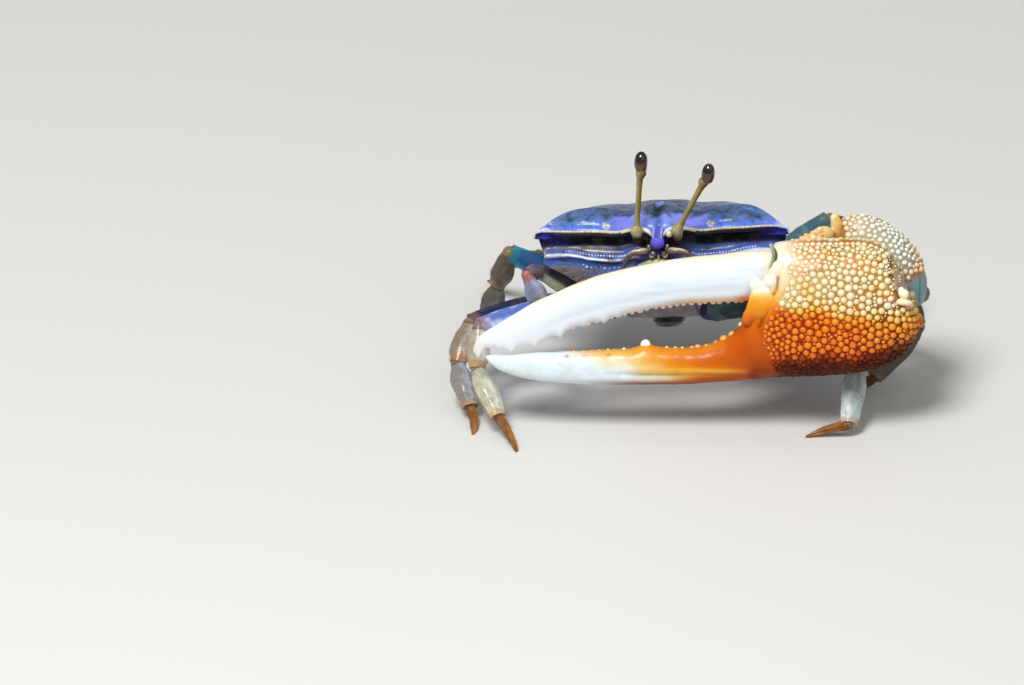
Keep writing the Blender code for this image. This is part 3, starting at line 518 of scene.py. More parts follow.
@dataclass(frozen=True)
class Chitin:
    """Shell of chitin and lime, hardened and wet: pigment in clouds under a clear, slightly uneven gloss.

    cloud_mm and fleck_mm are the widths of the pigment's clouds and of its specks, and grain_mm that of
    the fine unevenness which breaks up the highlights. Dark hollows, where silt clings, hold less gloss.
    """

    name: str
    cloud: str
    cloud_share: float
    cloud_mm: float
    fleck: str
    fleck_share: float
    fleck_mm: float
    roughness: float
    coat: float
    grain_mm: float
    relief: float
    depth: float = 0.0

    def material(self) -> bpy.types.Material:
        """The finish as nodes, made once and shared by its pieces."""
        made = bpy.data.materials.get(self.name)
        if made:
            return made
        made = bpy.data.materials.new(self.name)
        made.use_nodes = True
        tree = made.node_tree
        shader = tree.nodes["Principled BSDF"]
        place = add_node(tree, "ShaderNodeTexCoord").outputs["Object"]
        paint = add_node(tree, "ShaderNodeAttribute", attribute_name="paint").outputs["Color"]
        clouds = add_node(
            tree, "ShaderNodeTexNoise",
            {"Vector": place, "Scale": per_metre(self.cloud_mm), "Detail": 5.0, "Roughness": 0.6},
        )
        cloudy = add_node(
            tree, "ShaderNodeMapRange",
            {"Value": clouds.outputs["Fac"], "From Min": 0.45, "From Max": 0.72, "To Max": self.cloud_share},
        )
        tint = add_node(
            tree, "ShaderNodeMix",
            {0: cloudy.outputs[0], 6: paint, 7: (*linear(self.cloud), 1.0)}, data_type="RGBA",
        )
        specks = add_node(
            tree, "ShaderNodeTexNoise",
            {"Vector": place, "Scale": per_metre(self.fleck_mm), "Detail": 2.0, "Roughness": 0.5},
        )
        speckled = add_node(
            tree, "ShaderNodeMapRange",
            {"Value": specks.outputs["Fac"], "From Min": 0.6, "From Max": 0.7, "To Max": self.fleck_share},
        )
        colour = add_node(
            tree, "ShaderNodeMix",
            {0: speckled.outputs[0], 6: tint.outputs[2], 7: (*linear(self.fleck), 1.0)}, data_type="RGBA",
        )
        dull = add_node(
            tree, "ShaderNodeMapRange",
            {"Value": clouds.outputs["Fac"], "From Min": 0.3, "From Max": 0.7,
             "To Min": self.roughness * 0.75, "To Max": self.roughness * 1.35},
        )
        grain = add_node(
            tree, "ShaderNodeTexNoise",
            {"Vector": place, "Scale": per_metre(self.grain_mm), "Detail": 3.0, "Roughness": 0.55},
        )
        uneven = add_node(
            tree, "ShaderNodeBump",
            {"Height": grain.outputs["Fac"], "Strength": self.relief, "Distance": self.grain_mm * MM * 0.35},
        )
        light = add_node(tree, "ShaderNodeRGBToBW", {"Color": paint})
        wet = add_node(
            tree, "ShaderNodeMapRange",
            {"Value": light.outputs[0], "From Max": 0.4, "To Min": self.coat * 0.2, "To Max": self.coat},
        )
        sheen = add_node(
            tree, "ShaderNodeMapRange", {"Value": light.outputs[0], "From Max": 0.6, "To Min": 0.06, "To Max": 0.4}
        )
        tree.links.new(wet.outputs[0], shader.inputs["Coat Weight"])
        tree.links.new(sheen.outputs[0], shader.inputs["Specular IOR Level"])
        tree.links.new(colour.outputs[2], shader.inputs["Base Color"])
        tree.links.new(dull.outputs[0], shader.inputs["Roughness"])
        tree.links.new(uneven.outputs["Normal"], shader.inputs["Normal"])
        shader.inputs["IOR"].default_value = 1.5
        shader.inputs["Coat Roughness"].default_value = 0.14
        shader.inputs["Subsurface Weight"].default_value = self.depth
        shader.inputs["Subsurface Radius"].default_value = (0.8, 0.45, 0.3)
        shader.inputs["Subsurface Scale"].default_value = 0.6 * MM
        return made


# Mottled back shell: navy and violet clouds, with silt specks caught in it, under a wet gloss.
BACK_SHELL = Chitin("mottled_back_chitin", "#222c50", 0.42, 0.6, "#8c98a6", 0.4, 0.26, 0.35, 0.6, 0.25, 0.6)
# Face and flank shell: the same pigment, thinner and bluer, with a film of mud.
FACE_SHELL = Chitin("blue_face_chitin", "#262b52", 0.3, 1.6, "#7a6c58", 0.35, 0.3, 0.34, 0.7, 0.25, 0.4)
# White claw shell: thick lime, almost without pigment, so that it glows a little at its edges.
WHITE_CLAW = Chitin("white_claw_chitin", "#dbe6f0", 0.5, 3.0, "#c9b98f", 0.12, 0.35, 0.34, 0.3, 0.3, 0.2, 0.08)
# Beaded claw shell: orange pigment under a hard gloss; the skin between the grains is painted darker, partly by its own
# colour and partly as painted shade in the crevices.
BEADED_CLAW = Chitin("beaded_claw_chitin", "#b85a0a", 0.2, 1.8, "#5c2a10", 0.2, 0.22, 0.34, 0.2, 0.18, 0.25, 0.03)
# The grains themselves: rounded lime, smoother and paler than the shell that they stand on.
GRAIN = Chitin("claw_grain_chitin", "#f0c070", 0.05, 1.0, "#b0682a", 0.12, 0.2, 0.24, 0.3, 0.2, 0.1, 0.02)
# Leg shell: thin, so blue and cream show through a brown silt that lies in its hollows.
LEG_SHELL = Chitin("banded_leg_chitin", "#5d5040", 0.45, 1.3, "#3a2c20", 0.35, 0.25, 0.3, 0.55, 0.2, 0.4, 0.05)
# Toe horn: dark, dry and a little fibrous.
TOE_HORN = Chitin("toe_horn_chitin", "#5a3214", 0.5, 0.9, "#2c180b", 0.35, 0.2, 0.38, 0.25, 0.15, 0.5)
# Stalk shell: thin olive skin, smooth enough to hold one long highlight.
STALK_SHELL = Chitin("olive_stalk_chitin", "#5f5426", 0.4, 0.8, "#3c3418", 0.25, 0.2, 0.28, 0.55, 0.15, 0.25, 0.1)
# Arm shell: dark teal and smooth, with brown silt near the joints.
ARM_SHELL = Chitin("teal_arm_chitin", "#39362a", 0.45, 1.6, "#1e1c18", 0.3, 0.3, 0.3, 0.5, 0.22, 0.35)
# Joint skin: unhardened and folded, so it is paler, duller and lets light through.
JOINT_SKIN = Chitin("joint_skin", "#9a8b6c", 0.4, 0.7, "#5c4a34", 0.25, 0.18, 0.42, 0.3, 0.12, 0.6, 0.3)


@dataclass(frozen=True)
class Cornea:
    """The eye's clear, wet surface over dark brown: nearly a mirror, with one sharp highlight."""

    name: str = "wet_cornea"
    roughness: float = 0.06
    facet_mm: float = 0.06

    def material(self) -> bpy.types.Material:
        """The finish as nodes; its facets are drawn about twice as coarse as they are, to show at all."""
        made = bpy.data.materials.get(self.name)
        if made:
            return made
        made = bpy.data.materials.new(self.name)
        made.use_nodes = True
        tree = made.node_tree
        shader = tree.nodes["Principled BSDF"]
        place = add_node(tree, "ShaderNodeTexCoord").outputs["Object"]
        paint = add_node(tree, "ShaderNodeAttribute", attribute_name="paint").outputs["Color"]
        facets = add_node(
            tree, "ShaderNodeTexVoronoi", {"Vector": place, "Scale": per_metre(2 * self.facet_mm)}
        )
        relief = add_node(
            tree, "ShaderNodeBump",
            {"Height": facets.outputs["Distance"], "Strength": 0.12, "Distance": 0.02 * MM},
        )
        tree.links.new(paint, shader.inputs["Base Color"])
        tree.links.new(relief.outputs["Normal"], shader.inputs["Normal"])
        shader.inputs["Roughness"].default_value = self.roughness
        shader.inputs["IOR"].default_value = 1.45
        shader.inputs["Coat Weight"].default_value = 1.0
        shader.inputs["Coat Roughness"].default_value = 0.03
        return made


@dataclass(frozen=True)
class Bristle:
    """Setae: fine horn hairs, brown at the root and paler to the tip, with a soft sheen."""

    name: str = "bristle_horn"
    roughness: float = 0.5

    def material(self) -> bpy.types.Material:
        """The finish as nodes, coloured by the hairs' own paint."""
        made = bpy.data.materials.get(self.name)
        if made:
            return made
        made = bpy.data.materials.new(self.name)
        made.use_nodes = True
        tree = made.node_tree
        shader = tree.nodes["Principled BSDF"]
        place = add_node(tree, "ShaderNodeTexCoord").outputs["Object"]
        paint = add_node(tree, "ShaderNodeAttribute", attribute_name="paint").outputs["Color"]
        uneven = add_node(tree, "ShaderNodeTexNoise", {"Vector": place, "Scale": per_metre(0.6)})
        lighter = add_node(
            tree, "ShaderNodeMapRange",
            {"Value": uneven.outputs["Fac"], "From Min": 0.35, "From Max": 0.7, "To Max": 0.5},
        )
        colour = add_node(
            tree, "ShaderNodeMix",
            {0: lighter.outputs[0], 6: paint, 7: (*linear("#a8977c"), 1.0)}, data_type="RGBA",
        )
        tree.links.new(colour.outputs[2], shader.inputs["Base Color"])
        shader.inputs["Roughness"].default_value = self.roughness
        shader.inputs["Sheen Weight"].default_value = 0.3
        return made


@dataclass(frozen=True)
class StudioFloor:
    """A painted studio floor: matt, pale and very faintly uneven."""

    name: str = "painted_studio_floor"
    colour: str = "#d9d8d4"

    def material(self) -> bpy.types.Material:
        """The finish as nodes."""
        made = bpy.data.materials.new(self.name)
        made.use_nodes = True
        tree = made.node_tree
        shader = tree.nodes["Principled BSDF"]
        place = add_node(tree, "ShaderNodeTexCoord").outputs["Object"]
        uneven = add_node(tree, "ShaderNodeTexNoise", {"Vector": place, "Scale": per_metre(60.0)})
        tone = add_node(
            tree, "ShaderNodeMapRange", {"Value": uneven.outputs["Fac"], "To Min": 0.0, "To Max": 0.12}
        )
        colour = add_node(
            tree, "ShaderNodeMix",
            {0: tone.outputs[0], 6: (*linear(self.colour), 1.0), 7: (*linear("#c4c2bc"), 1.0)},
            data_type="RGBA",
        )
        tree.links.new(colour.outputs[2], shader.inputs["Base Color"])
        shader.inputs["Roughness"].default_value = 0.85
        return made


def set_in_place(
    clay: Clay, place: Place, finish: object, stands_for: tuple = (), sharp: float = 40.0
) -> bpy.types.Object:
    """Ends the work on a piece: paint, finish, its place on the crab, and what it stands for.

    Args:
        clay: The modelled and painted piece.
        place: The frame that it was modelled in.
        finish: The finish that it takes.
        stands_for: The solids that the piece takes the place of.
        sharp: The angle, in degrees, past which an edge stays crisp.

    Returns:
        The finished piece.
    """
    piece = clay.keep()
    piece.data.transform(place.matrix())
    piece.data.materials.clear()
    piece.data.materials.append(finish.material())
    pick_up(piece)
    bpy.ops.object.shade_smooth_by_angle(angle=math.radians(sharp))
    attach(piece, ROOT)
    if stands_for:
        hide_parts(*stands_for)
    LOG.info("%s: %d faces, %s", piece.name, len(piece.data.polygons), finish.name)
    return piece


# The great claw, drawn in its own plane: +X towards its heel, +Z up, -Y its outer face


HAND_TOP = (
    (-21.1, -3.85), (-20.6, -3.72), (-19.0, -3.68), (-12.3, -3.3), (-6.0, -3.05), (-1.0, -2.8),
    (4.2, -2.7), (6.9, -1.8), (8.3, -0.95), (9.3, 0.2), (9.8, 1.8), (10.2, 3.6), (10.7, 5.2),
    (12.0, 7.3), (12.75, 9.1), (13.3, 9.85), (14.2, 10.1), (20.0, 10.3), (24.0, 10.2), (26.2, 9.3), (27.6, 7.6),
    (28.5, 5.4), (29.5, 3.2), (30.15, 1.0),
)
HAND_BOTTOM = (
    (-21.1, -4.1), (-20.6, -4.7), (-19.4, -5.6), (-17.0, -6.45), (-12.3, -7.1), (-5.1, -7.3),
    (4.4, -7.1), (13.9, -6.3), (22.3, -5.75), (25.8, -5.05), (28.3, -3.5), (29.5, -1.8), (30.15, -0.1),
)
HAND_OUTER = (
    (-21.1, 0.25), (-20.5, 0.65), (-16.0, 1.15), (-8.0, 1.6), (0.0, 1.9), (7.0, 2.3), (10.5, 3.1),
    (15.0, 4.3), (20.0, 4.8), (25.0, 4.5), (28.5, 3.3), (29.7, 1.9), (30.15, 0.9),
)
HAND_INNER = (
    (-21.1, 0.25), (-20.5, 0.6), (-16.0, 1.0), (-8.0, 1.35), (0.0, 1.6), (7.0, 2.0), (10.5, 2.5),
    (15.0, 3.3), (20.0, 3.7), (25.0, 3.5), (28.5, 2.7), (29.7, 1.7), (30.15, 0.8),
)
FINGER_TOP = (
    (-22.6, -2.9), (-22.3, -2.0), (-21.5, -1.1), (-19.5, 0.13), (-15.5, 2.6), (-11.3, 4.55), (-7.3, 6.1),
    (-3.1, 7.1), (1.0, 7.9), (4.4, 8.3), (9.2, 8.8), (12.6, 9.0), (13.4, 8.6), (14.0, 7.6),
)
FINGER_BOTTOM = (
    (-22.6, -3.3), (-22.2, -4.0), (-21.85, -4.1), (-21.3, -3.1), (-20.6, -2.7), (-18.5, -2.85),
    (-16.5, -2.45), (-14.6, -1.95), (-13.0, -1.2), (-11.3, -0.5), (-8.0, 0.45), (-4.2, 1.4),
    (1.0, 2.4), (4.4, 2.7), (9.0, 2.9), (10.6, 3.2), (12.2, 5.0), (14.0, 6.6),
)
FINGER_THICKNESS = (
    (-22.6, 0.2), (-22.2, 0.5), (-20.5, 0.7), (-16.0, 1.05), (-8.0, 1.4), (0.0, 1.7), (6.0, 1.95),
    (9.5, 2.1), (12.0, 1.9), (14.0, 1.3),
)
HAND_STATIONS = (
    -21.1, -20.8, -20.0, -17.8, -14.5, -10.5, -6.0, -1.5, 3.0, 6.5, 8.6, 9.6, 10.4, 11.2, 12.1, 13.1,
    14.6, 17.0, 20.0, 23.0, 25.2, 27.0, 28.4, 29.5, 30.15,
)
FINGER_STATIONS = (
    -22.6, -22.3, -21.9, -21.4, -20.6, -18.6, -15.5, -12.0, -8.0, -4.0, 0.0, 4.0, 8.0, 10.5, 12.4, 14.0,
)


@dataclass(frozen=True)
class Outline:
    """A flattish form between a top and a bottom line, bulging outwards and inwards from its plane."""

    top: tuple
    bottom: tuple
    outer: tuple
    inner: tuple
    power: float

    def at(self, place: np.ndarray, angle: np.ndarray) -> np.ndarray:
        """The surface at places along the form and angles round it.

        Args:
            place: How far along +X.
            angle: The angle from +Y, rising towards +Z.

        Returns:
            The points, one row each.
        """
        high, low = curve(self.top, place), curve(self.bottom, place)
        half = np.maximum((high - low) / 2, 0.08)
        cosine, sine = np.cos(angle), np.sin(angle)
        bulge = np.where(cosine > 0, curve(self.inner, place), curve(self.outer, place))
        across = np.sign(cosine) * np.abs(cosine) ** (2 / self.power) * bulge
        up = (high + low) / 2 + np.sign(sine) * np.abs(sine) ** (2 / self.power) * half
        return np.stack([place, across, up], axis=1)

    def on_skin(self, points: np.ndarray) -> np.ndarray:
        """Points near the form drawn on to its surface, straight across or along its width."""
        high, low = curve(self.top, points[:, 0]), curve(self.bottom, points[:, 0])
        half, middle = np.maximum((high - low) / 2, 0.08), (high + low) / 2
        bulge = np.where(points[:, 1] > 0, curve(self.inner, points[:, 0]), curve(self.outer, points[:, 0]))
        across, up = points[:, 1] / bulge, (points[:, 2] - middle) / half
        reach = (np.abs(across) ** self.power + np.abs(up) ** self.power) ** (1 / self.power)
        return np.stack([points[:, 0], points[:, 1] / reach, middle + up / reach * half], axis=1)

    def facing(self, points: np.ndarray) -> np.ndarray:
        """The outward direction, seen end on, at points of the surface."""
        high, low = curve(self.top, points[:, 0]), curve(self.bottom, points[:, 0])
        half = (high - low) / 2
        bulge = np.where(
            points[:, 1] > 0, curve(self.inner, points[:, 0]), curve(self.outer, points[:, 0])
        )
        way = np.stack(
            [np.zeros(len(points)), points[:, 1] / bulge**2, (points[:, 2] - (high + low) / 2) / half**2],
            axis=1,
        )
        return way / np.linalg.norm(way, axis=1)[:, None]

    def skin(self, name: str, stations: np.ndarray, sides: int) -> bpy.types.Object:
        """The whole form as one closed skin."""
        angles = np.arange(sides) * 2 * math.pi / sides
        rings = [self.at(np.full(sides, station), angles) for station in stations]
        return loft(name, rings)


def strew(
    outline: Outline, span: tuple, turn: tuple, classes: tuple, allowed: object, seed: int, taken: list
) -> tuple:
    """Strews grains of falling size over a form; each size crowds together before the next, and all swell to touch.

    Args:
        outline: The form that they stand on.
        span: The first and last place along it.
        turn: The first and last angle round it.
        classes: Rows of the smallest radius, the largest radius, the number of tries and the share of their
            touching distance that two grains may be thrown at.
        allowed: Tells, for points and radii, the chance that a grain grows there, and its size as a share.
        seed: The seed of the random draws.
        taken: Grains that are there already, as rows of a place and a radius.

    Returns:
        The places and the radii of all grains, those taken first.
    """
    chance = np.random.default_rng(seed)
    held = np.array(taken, float).reshape(-1, 4)
    for low, high, tries, near in classes:
        points = outline.at(chance.uniform(*span, tries), chance.uniform(*turn, tries))
        radii = chance.uniform(low, high, tries)
        odds, sizes = allowed(points, radii)
        wanted = chance.random(tries) < odds
        fixed = len(held)
        for point, radius in zip(points[wanted], (radii * sizes)[wanted]):
            away = np.linalg.norm(held[:, :3] - point, axis=1)
            if len(held) and np.any(away < near * (held[:, 3] + radius)):
                continue
            held = np.vstack([held, [*point, radius]])
        settle(outline, held, fixed if low < 0.3 else len(taken), allowed)
    for index in range(len(taken), len(held)):
        away = np.linalg.norm(held[:, :3] - held[index, :3], axis=1) * 1.03 - held[:, 3]
        away[index] = 1e9
        held[index, 3] = np.clip(np.partition(away, 1)[1], held[index, 3], held[index, 3] * 1.2)
    return held[:, :3], held[:, 3]


def settle(outline: Outline, held: np.ndarray, fixed: int, allowed: object, rounds: int = 6) -> None:
    """Lets crowded grains push one another along the surface until they barely overlap.

    Args:
        outline: The form that they stand on.
        held: Rows of a place and a radius, changed in place.
        fixed: How many rows at the start keep their place.
        allowed: The same test as where they were strewn.
        rounds: How often each grain looks for new neighbours.
    """
    for _ in range(rounds):
        tree = kdtree.KDTree(len(held))
        for index, row in enumerate(held):
            tree.insert(row[:3], index)
        tree.balance()
        pairs = np.array([
            (index, other) for index, row in enumerate(held)
            for _, other, _ in tree.find_range(row[:3], row[3] + 0.6) if other > index
        ]).reshape(-1, 2)
        first, second = pairs[:, 0], pairs[:, 1]
        room = held[first, 3] + held[second, 3]
        for _ in range(8):
            apart = held[first, :3] - held[second, :3]
            gap = np.maximum(np.linalg.norm(apart, axis=1), 1e-6)
            shift = apart * (np.maximum(0, room * 0.97 - gap) / gap * 0.4)[:, None]
            moves = np.zeros((len(held), 3))
            np.add.at(moves, first, shift)
            np.add.at(moves, second, -shift)
            fresh = outline.on_skin(held[:, :3] + moves)
            keep = allowed(fresh, held[:, 3])[0] < 0.02
            keep[:fixed] = True
            held[:, :3] = np.where(keep[:, None], held[:, :3], fresh)


HAND = Outline(HAND_TOP, HAND_BOTTOM, HAND_OUTER, HAND_INNER, 2.25)
FINGER = Outline(FINGER_TOP, FINGER_BOTTOM, FINGER_THICKNESS, FINGER_THICKNESS, 2.2)


@dataclass
class GreatHand:
    """The palm and its fixed finger, which are one piece of shell, with grains, teeth and hinge lobes."""

    sides: int = 112
    refine: int = 13
    # The line, in the claw's plane, that the grains stop at towards the fingers, by height.
    grain_front: tuple = ((-6.5, 13.0), (-3.2, 12.1), (-0.2, 11.4), (1.5, 12.1), (5.8, 14.4), (10.4, 14.8))
    groove: tuple = ((13.6, 6.5), (13.45, 5.1), (12.5, 3.5), (11.9, 1.9), (11.4, 0.2))
    # Where the palm ends in the bare skin before its hinge with the wrist, by height.
    heel_line: tuple = ((3.3, 28.6), (4.2, 27.9), (5.2, 27.3), (6.4, 27.1), (7.4, 27.0), (8.6, 26.6))
    crest_places: tuple = (15.0, 26.9)
    crest_radius: float = 0.4
    crest_depth: float = 0.2
    grain_classes: tuple = (
        (0.38, 0.52, 9000, 0.74), (0.2, 0.28, 6000, 0.84), (0.15, 0.19, 6000, 0.88), (0.09, 0.13, 8000, 0.92),
    )
    # The knuckle that the movable finger turns on: two lobes side by side on one tongue of shell.
    lobes: tuple = ((11.0, -2.6, 5.4), (12.7, -3.0, 6.0))
    lobe_radius: float = 0.86
    tongue: tuple = ((12.1, -2.6, 5.3), (11.9, -2.95, 3.9), (11.2, -3.0, 2.5), (10.3, -2.8, 1.3))
    tongue_radii: tuple = (1.5, 1.7, 1.45, 1.1)
    tooth_row: tuple = (-10.6, 9.2, 21)
    second_row: tuple = (-8.0, 7.8, 12)
    # Patches of the shoulder where the skin between the grains is red: place, half widths and strength.
    red_patches: tuple = ((16.6, 8.9, 2.4, 1.7, 0.95), (23.5, 8.1, 2.3, 1.2, 0.6), (26.4, 4.9, 1.1, 1.7, 0.7))
    knob: tuple = (-2.1, 0.62)
    seed: int = 7

    def warmth(self, points: np.ndarray) -> np.ndarray:
        """How deep the orange is: none on the cream shoulder, half on the flank, one on the keel, whose darkest colours
        are partly deeper orange and partly painted shade on the underside.
        """
        x, z = points[:, 0], points[:, 2]
        wander = drift(points, 2.6, 1.0) * 0.55
        reach = np.clip(x - 15, 0, 12)
        flank = rise(0, 1, (4.3 - z - wander) / (2.2 + 0.3 * reach))
        # keel: the lower edge, where the orange deepens and painted shade darkens it further
        keel = rise(4.3, 0.9, z - np.minimum(curve(HAND_BOTTOM, x), -4.0) + 0.6 * wander)
        patches = 0.14 * rise(0.15, 0.9, drift(points, 2.1, 5.0)) * rise(3.0, 5.0, z)
        return 0.5 * flank + 0.5 * keel + patches

    def paint_finger(self, clay: Clay) -> None:
        """The fixed finger: white at the tip, through cream and yellow to deep orange at its root."""
        x, z = clay.x, clay.z
        wander = drift(clay.points, 3.0, 2.0)
        along = x + 2.9 * (z + 5.0) + 1.3 * wander
        clay.ramp(
            [(-7.5, "#dcebf1"), (-4.0, "#e2d9b4"), (-1.2, "#e0ba68"), (1.8, "#dc9014"), (5.5, "#ce6a00"),
             (10.0, "#c05400")],
            along,
        )
        low = curve(HAND_BOTTOM, x)
        upper = curve(HAND_TOP, x)
        clay.coat("#8e3600", rise(1.1, 0.3, z - low) * rise(-12.0, -2.0, x) * 0.95)
        clay.coat("#a84200", 0.8 * rise(1.75, 0.9, z - low) * rise(0.0, 5.0, x))
        clay.coat("#e2a838", hump(z, -5.2, 0.3) * rise(-6.0, 0.0, x) * rise(15.0, 8.0, x) * 0.75)
        clay.coat("#b24800", 0.6 * rise(6.5, 10.0, x) * rise(-0.5, -2.5, z))
        clay.coat("#e8a02c", rise(1.2, 0.1, upper - z) * rise(-12.0, -8.0, x) * rise(9.0, 5.0, x) * 0.5)
        clay.coat("#7a5a24", hump(z, -5.75, 0.16) * rise(-5.0, -2.0, x) * rise(4.0, 1.0, x) * 0.5)
        for place, size in ((-11.5, 0.36), (-9.3, 0.24), (-6.5, 0.3), (-0.4, 0.2)):
            top = float(curve(HAND_TOP, np.array([place]))[0])
            clay.coat("#6a4426", 0.75 * clay.near((place, -1.0, top - 0.45), size))

    def paint_palm(self, clay: Clay) -> None:
        """The palm's skin between its grains, and the smooth tongue in front of them."""
        x, z = clay.x, clay.z
        front = curve(self.grain_front, z)
        palm = rise(-0.5, 1.3, x - front + 0.5 * drift(clay.points, 1.1, 12.0))
        warm = self.warmth(clay.points)
        # Skin between the grains: darker than they are, partly by its own colour and partly as painted shade in the
        # crevices; darkest on the keel, where it is partly painted shade.
        clay.ramp(
            [(0.0, "#a87c40"), (0.12, "#a86a24"), (0.26, "#a44a08"), (0.42, "#9a3000"), (0.56, "#882200"),
             (0.7, "#6c1600"), (0.85, "#500e00"), (1.0, "#420a00")],
            warm, palm,
        )
        for place, height, across, up, strength in self.red_patches:
            away = np.hypot((x - place) / across, (z - height) / up) + 0.2 * drift(clay.points, 0.9, 4.0)
            clay.coat("#e07a18", strength * palm * rise(1.2, 0.6, away) * (clay.y < 0.5))
        clay.coat("#5a1400", 0.55 * palm * rise(21.0, 26.5, x) * rise(4.6, 2.4, z))
        clay.coat("#d8bc88", 0.5 * palm * rise(21.0, 17.5, x) * rise(3.6, 5.0, z) * rise(7.6, 6.4, z))
        clay.coat("#eec58c", 0.75 * palm * rise(2.8, 0.6, x - front) * rise(2.0, 4.0, z))
        behind = palm * rise(3.3, 3.9, z) * (clay.y < 0.5)
        past = x - curve(self.heel_line, z) + 0.12 * drift(clay.points, 0.8, 6.0)
        clay.coat("#b09c88", 0.85 * behind * rise(0.0, 0.4, past))
        clay.coat("#7c6a58", 0.6 * behind * rise(0.1, 0.6, past) * rise(0.0, 0.6, drift(clay.points, 0.5, 8.0)))
        clay.coat("#5a4432", 0.85 * behind * hump(past, 0.0, 0.2))
        tongue = (1 - palm) * rise(9.6, 10.8, x)
        # The smooth tongue from deep orange low down to cream on top; its darkest, lowest part is partly painted shade.
        clay.ramp(
            [(-6.5, "#7e2a00"), (-4.6, "#a84200"), (-2.0, "#c25200"), (0.5, "#cc5e00"), (2.6, "#e08408"),
             (4.0, "#ecb040"), (5.6, "#f0d8a8"), (8.0, "#f4e8cc")],
            z + 0.5 * drift(clay.points, 1.6, 3.0), tongue,
        )
        clay.coat("#8a3a04", clay.near_line(list(self.groove), 0.2) * (clay.y < 0) * 0.8)

    def carve(self, clay: Clay) -> None:
        """The groove behind the tongue, the crease under the crest and the keel along the lower edge."""
        x, y, z = clay.x, clay.y, clay.z
        outside = (y < 0).astype(float)
        crest = [(16.0, 9.55), (19.5, 9.75), (23.0, 9.6), (25.2, 8.7), (26.6, 7.2), (26.9, 5.6)]
        depth = -0.32 * clay.near_line(list(self.groove), 0.24) * outside
        depth -= 0.22 * clay.near_line(crest, 0.26) * outside
        depth -= 0.22 * hump(x, curve(self.heel_line, z), 0.25) * rise(3.4, 4.0, z) * outside
        depth -= 0.10 * hump(z, -5.75, 0.22) * rise(-9.0, -3.0, x) * rise(14.0, 9.0, x) * outside
        depth += 0.12 * hump(z, -5.2, 0.35) * rise(-9.0, -3.0, x) * rise(14.0, 9.0, x) * outside
        ridge = clay.near_line([(11.0, -2.5), (15.0, 1.0), (19.5, 4.5)], 0.6)
        depth += 0.45 * ridge * (1 - outside)
        top = float(curve(HAND_TOP, np.array([self.knob[0]]))[0])
        depth += 0.6 * clay.near((self.knob[0], -0.1, top), 1.3)
        depth += 0.05 * drift(clay.points, 2.2, 8.0) + 0.02 * drift(clay.points, 0.7, 9.0)
        clay.push(depth)

    def crest_row(self) -> list:
        """The row of larger grains along the palm's upper edge."""
        rows = []
        place = self.crest_places[0]
        wobble = random.Random(self.seed)
        while place < self.crest_places[1]:
            radius = self.crest_radius * wobble.uniform(0.82, 1.08)
            height = float(curve(HAND_TOP, np.array([place]))[0])
            slope = abs(height - float(curve(HAND_TOP, np.array([place + 0.1]))[0])) / 0.1
            low = float(curve(HAND_BOTTOM, np.array([place]))[0])
            share = 1 - 2 * self.crest_depth / (height - low)
            bulge = float(curve(HAND_OUTER, np.array([place]))[0])
            depth = bulge * (1 - share**HAND.power) ** (1 / HAND.power)
            rows.append((place, -depth, height - self.crest_depth, radius))
            place += 1.9 * radius / math.hypot(1, slope)
        return rows

    def may_grow(self, points: np.ndarray, radii: np.ndarray) -> tuple:
        """The chance that a grain grows, crowded outside and sparse on the inner face, and its size."""
        x, y, z = points.T
        size = 1 - 0.42 * rise(-2.6, -5.6, z) - 0.12 * rise(6.0, 9.0, z) - 0.3 * rise(16.0, 13.0, x)
        chance = rise(-0.1, 0.35, x - curve(self.grain_front, z) - radii)
        chance *= np.hypot(x - 28.6, z - 4.3) > 1.25 + radii
        bare = (x > curve(self.heel_line, z) - 0.9 * radii) & (z > 3.3) & (y < 0.5)
        chance *= np.where(bare, 0.5 * (radii < 0.14), 1.0)
        top_gap = curve(HAND_TOP, x) - z
        chance *= np.where((x > 15) & (y < 0) & (top_gap < 0.1 + radii), 0, 1)
        faint = rise(-4.0, -5.2, z) * rise(19.0, 15.0, x)
        chance *= 1 - 0.8 * faint
        inside = (y > 0.2 + 1.6 * rise(3.0, 6.0, z)) | ((y > -0.3) & (z < 0))
        return np.where(inside, np.where(radii < 0.31, 0.1, 0.03) * chance, chance), size

    def grains(self) -> Clay:
        """All of the palm's grains as one piece, paler than the skin that they stand on."""
        crest = self.crest_row()
        span, turn = (11.4, 30.2), (0.0, 2 * math.pi)
        places, radii = strew(HAND, span, turn, self.grain_classes, self.may_grow, self.seed, crest)
        outward = HAND.facing(places)
        chance = np.random.default_rng(self.seed + 1)
        sizes = radii[:, None] * chance.uniform(1.02, 1.2, (len(radii), 3))
        clay = copies("palm_grains", bead_seed(), places - outward * radii[:, None] * 0.5, sizes)
        tops = np.einsum("ij,ij->i", clay.shape, outward[clay.owners])
        warm = self.warmth(places)[clay.owners] + chance.uniform(-0.07, 0.07, len(radii))[clay.owners]
        clay.ramp(
            [(0.0, "#f0deb2"), (0.1, "#f0d592"), (0.22, "#efb63c"), (0.34, "#ec9000"), (0.5, "#e87200"),
             (0.64, "#cc5000"), (0.76, "#983000"), (0.88, "#601600"), (1.0, "#440a00")],
            warm,
        )
        x, z = places[clay.owners, 0], places[clay.owners, 2]
        clay.coat("#eca430", 0.35 * rise(22.0, 27.0, x) * rise(3.0, 0.5, z) * rise(-2.8, -0.8, z))
        clay.coat("#f6e2c8", 0.5 * rise(19.0, 16.0, x) * rise(6.0, 7.5, z))
        # Painted shade: each grain darkened down its sides towards the skin that it stands on.
        clay.shade(0.5 + 0.5 * rise(0.25, 0.85, tops))
        small = rise(0.3, 0.15, radii[clay.owners])
        clay.coat("#a84a0a", 0.35 * small * rise(0.1, 0.4, warm))
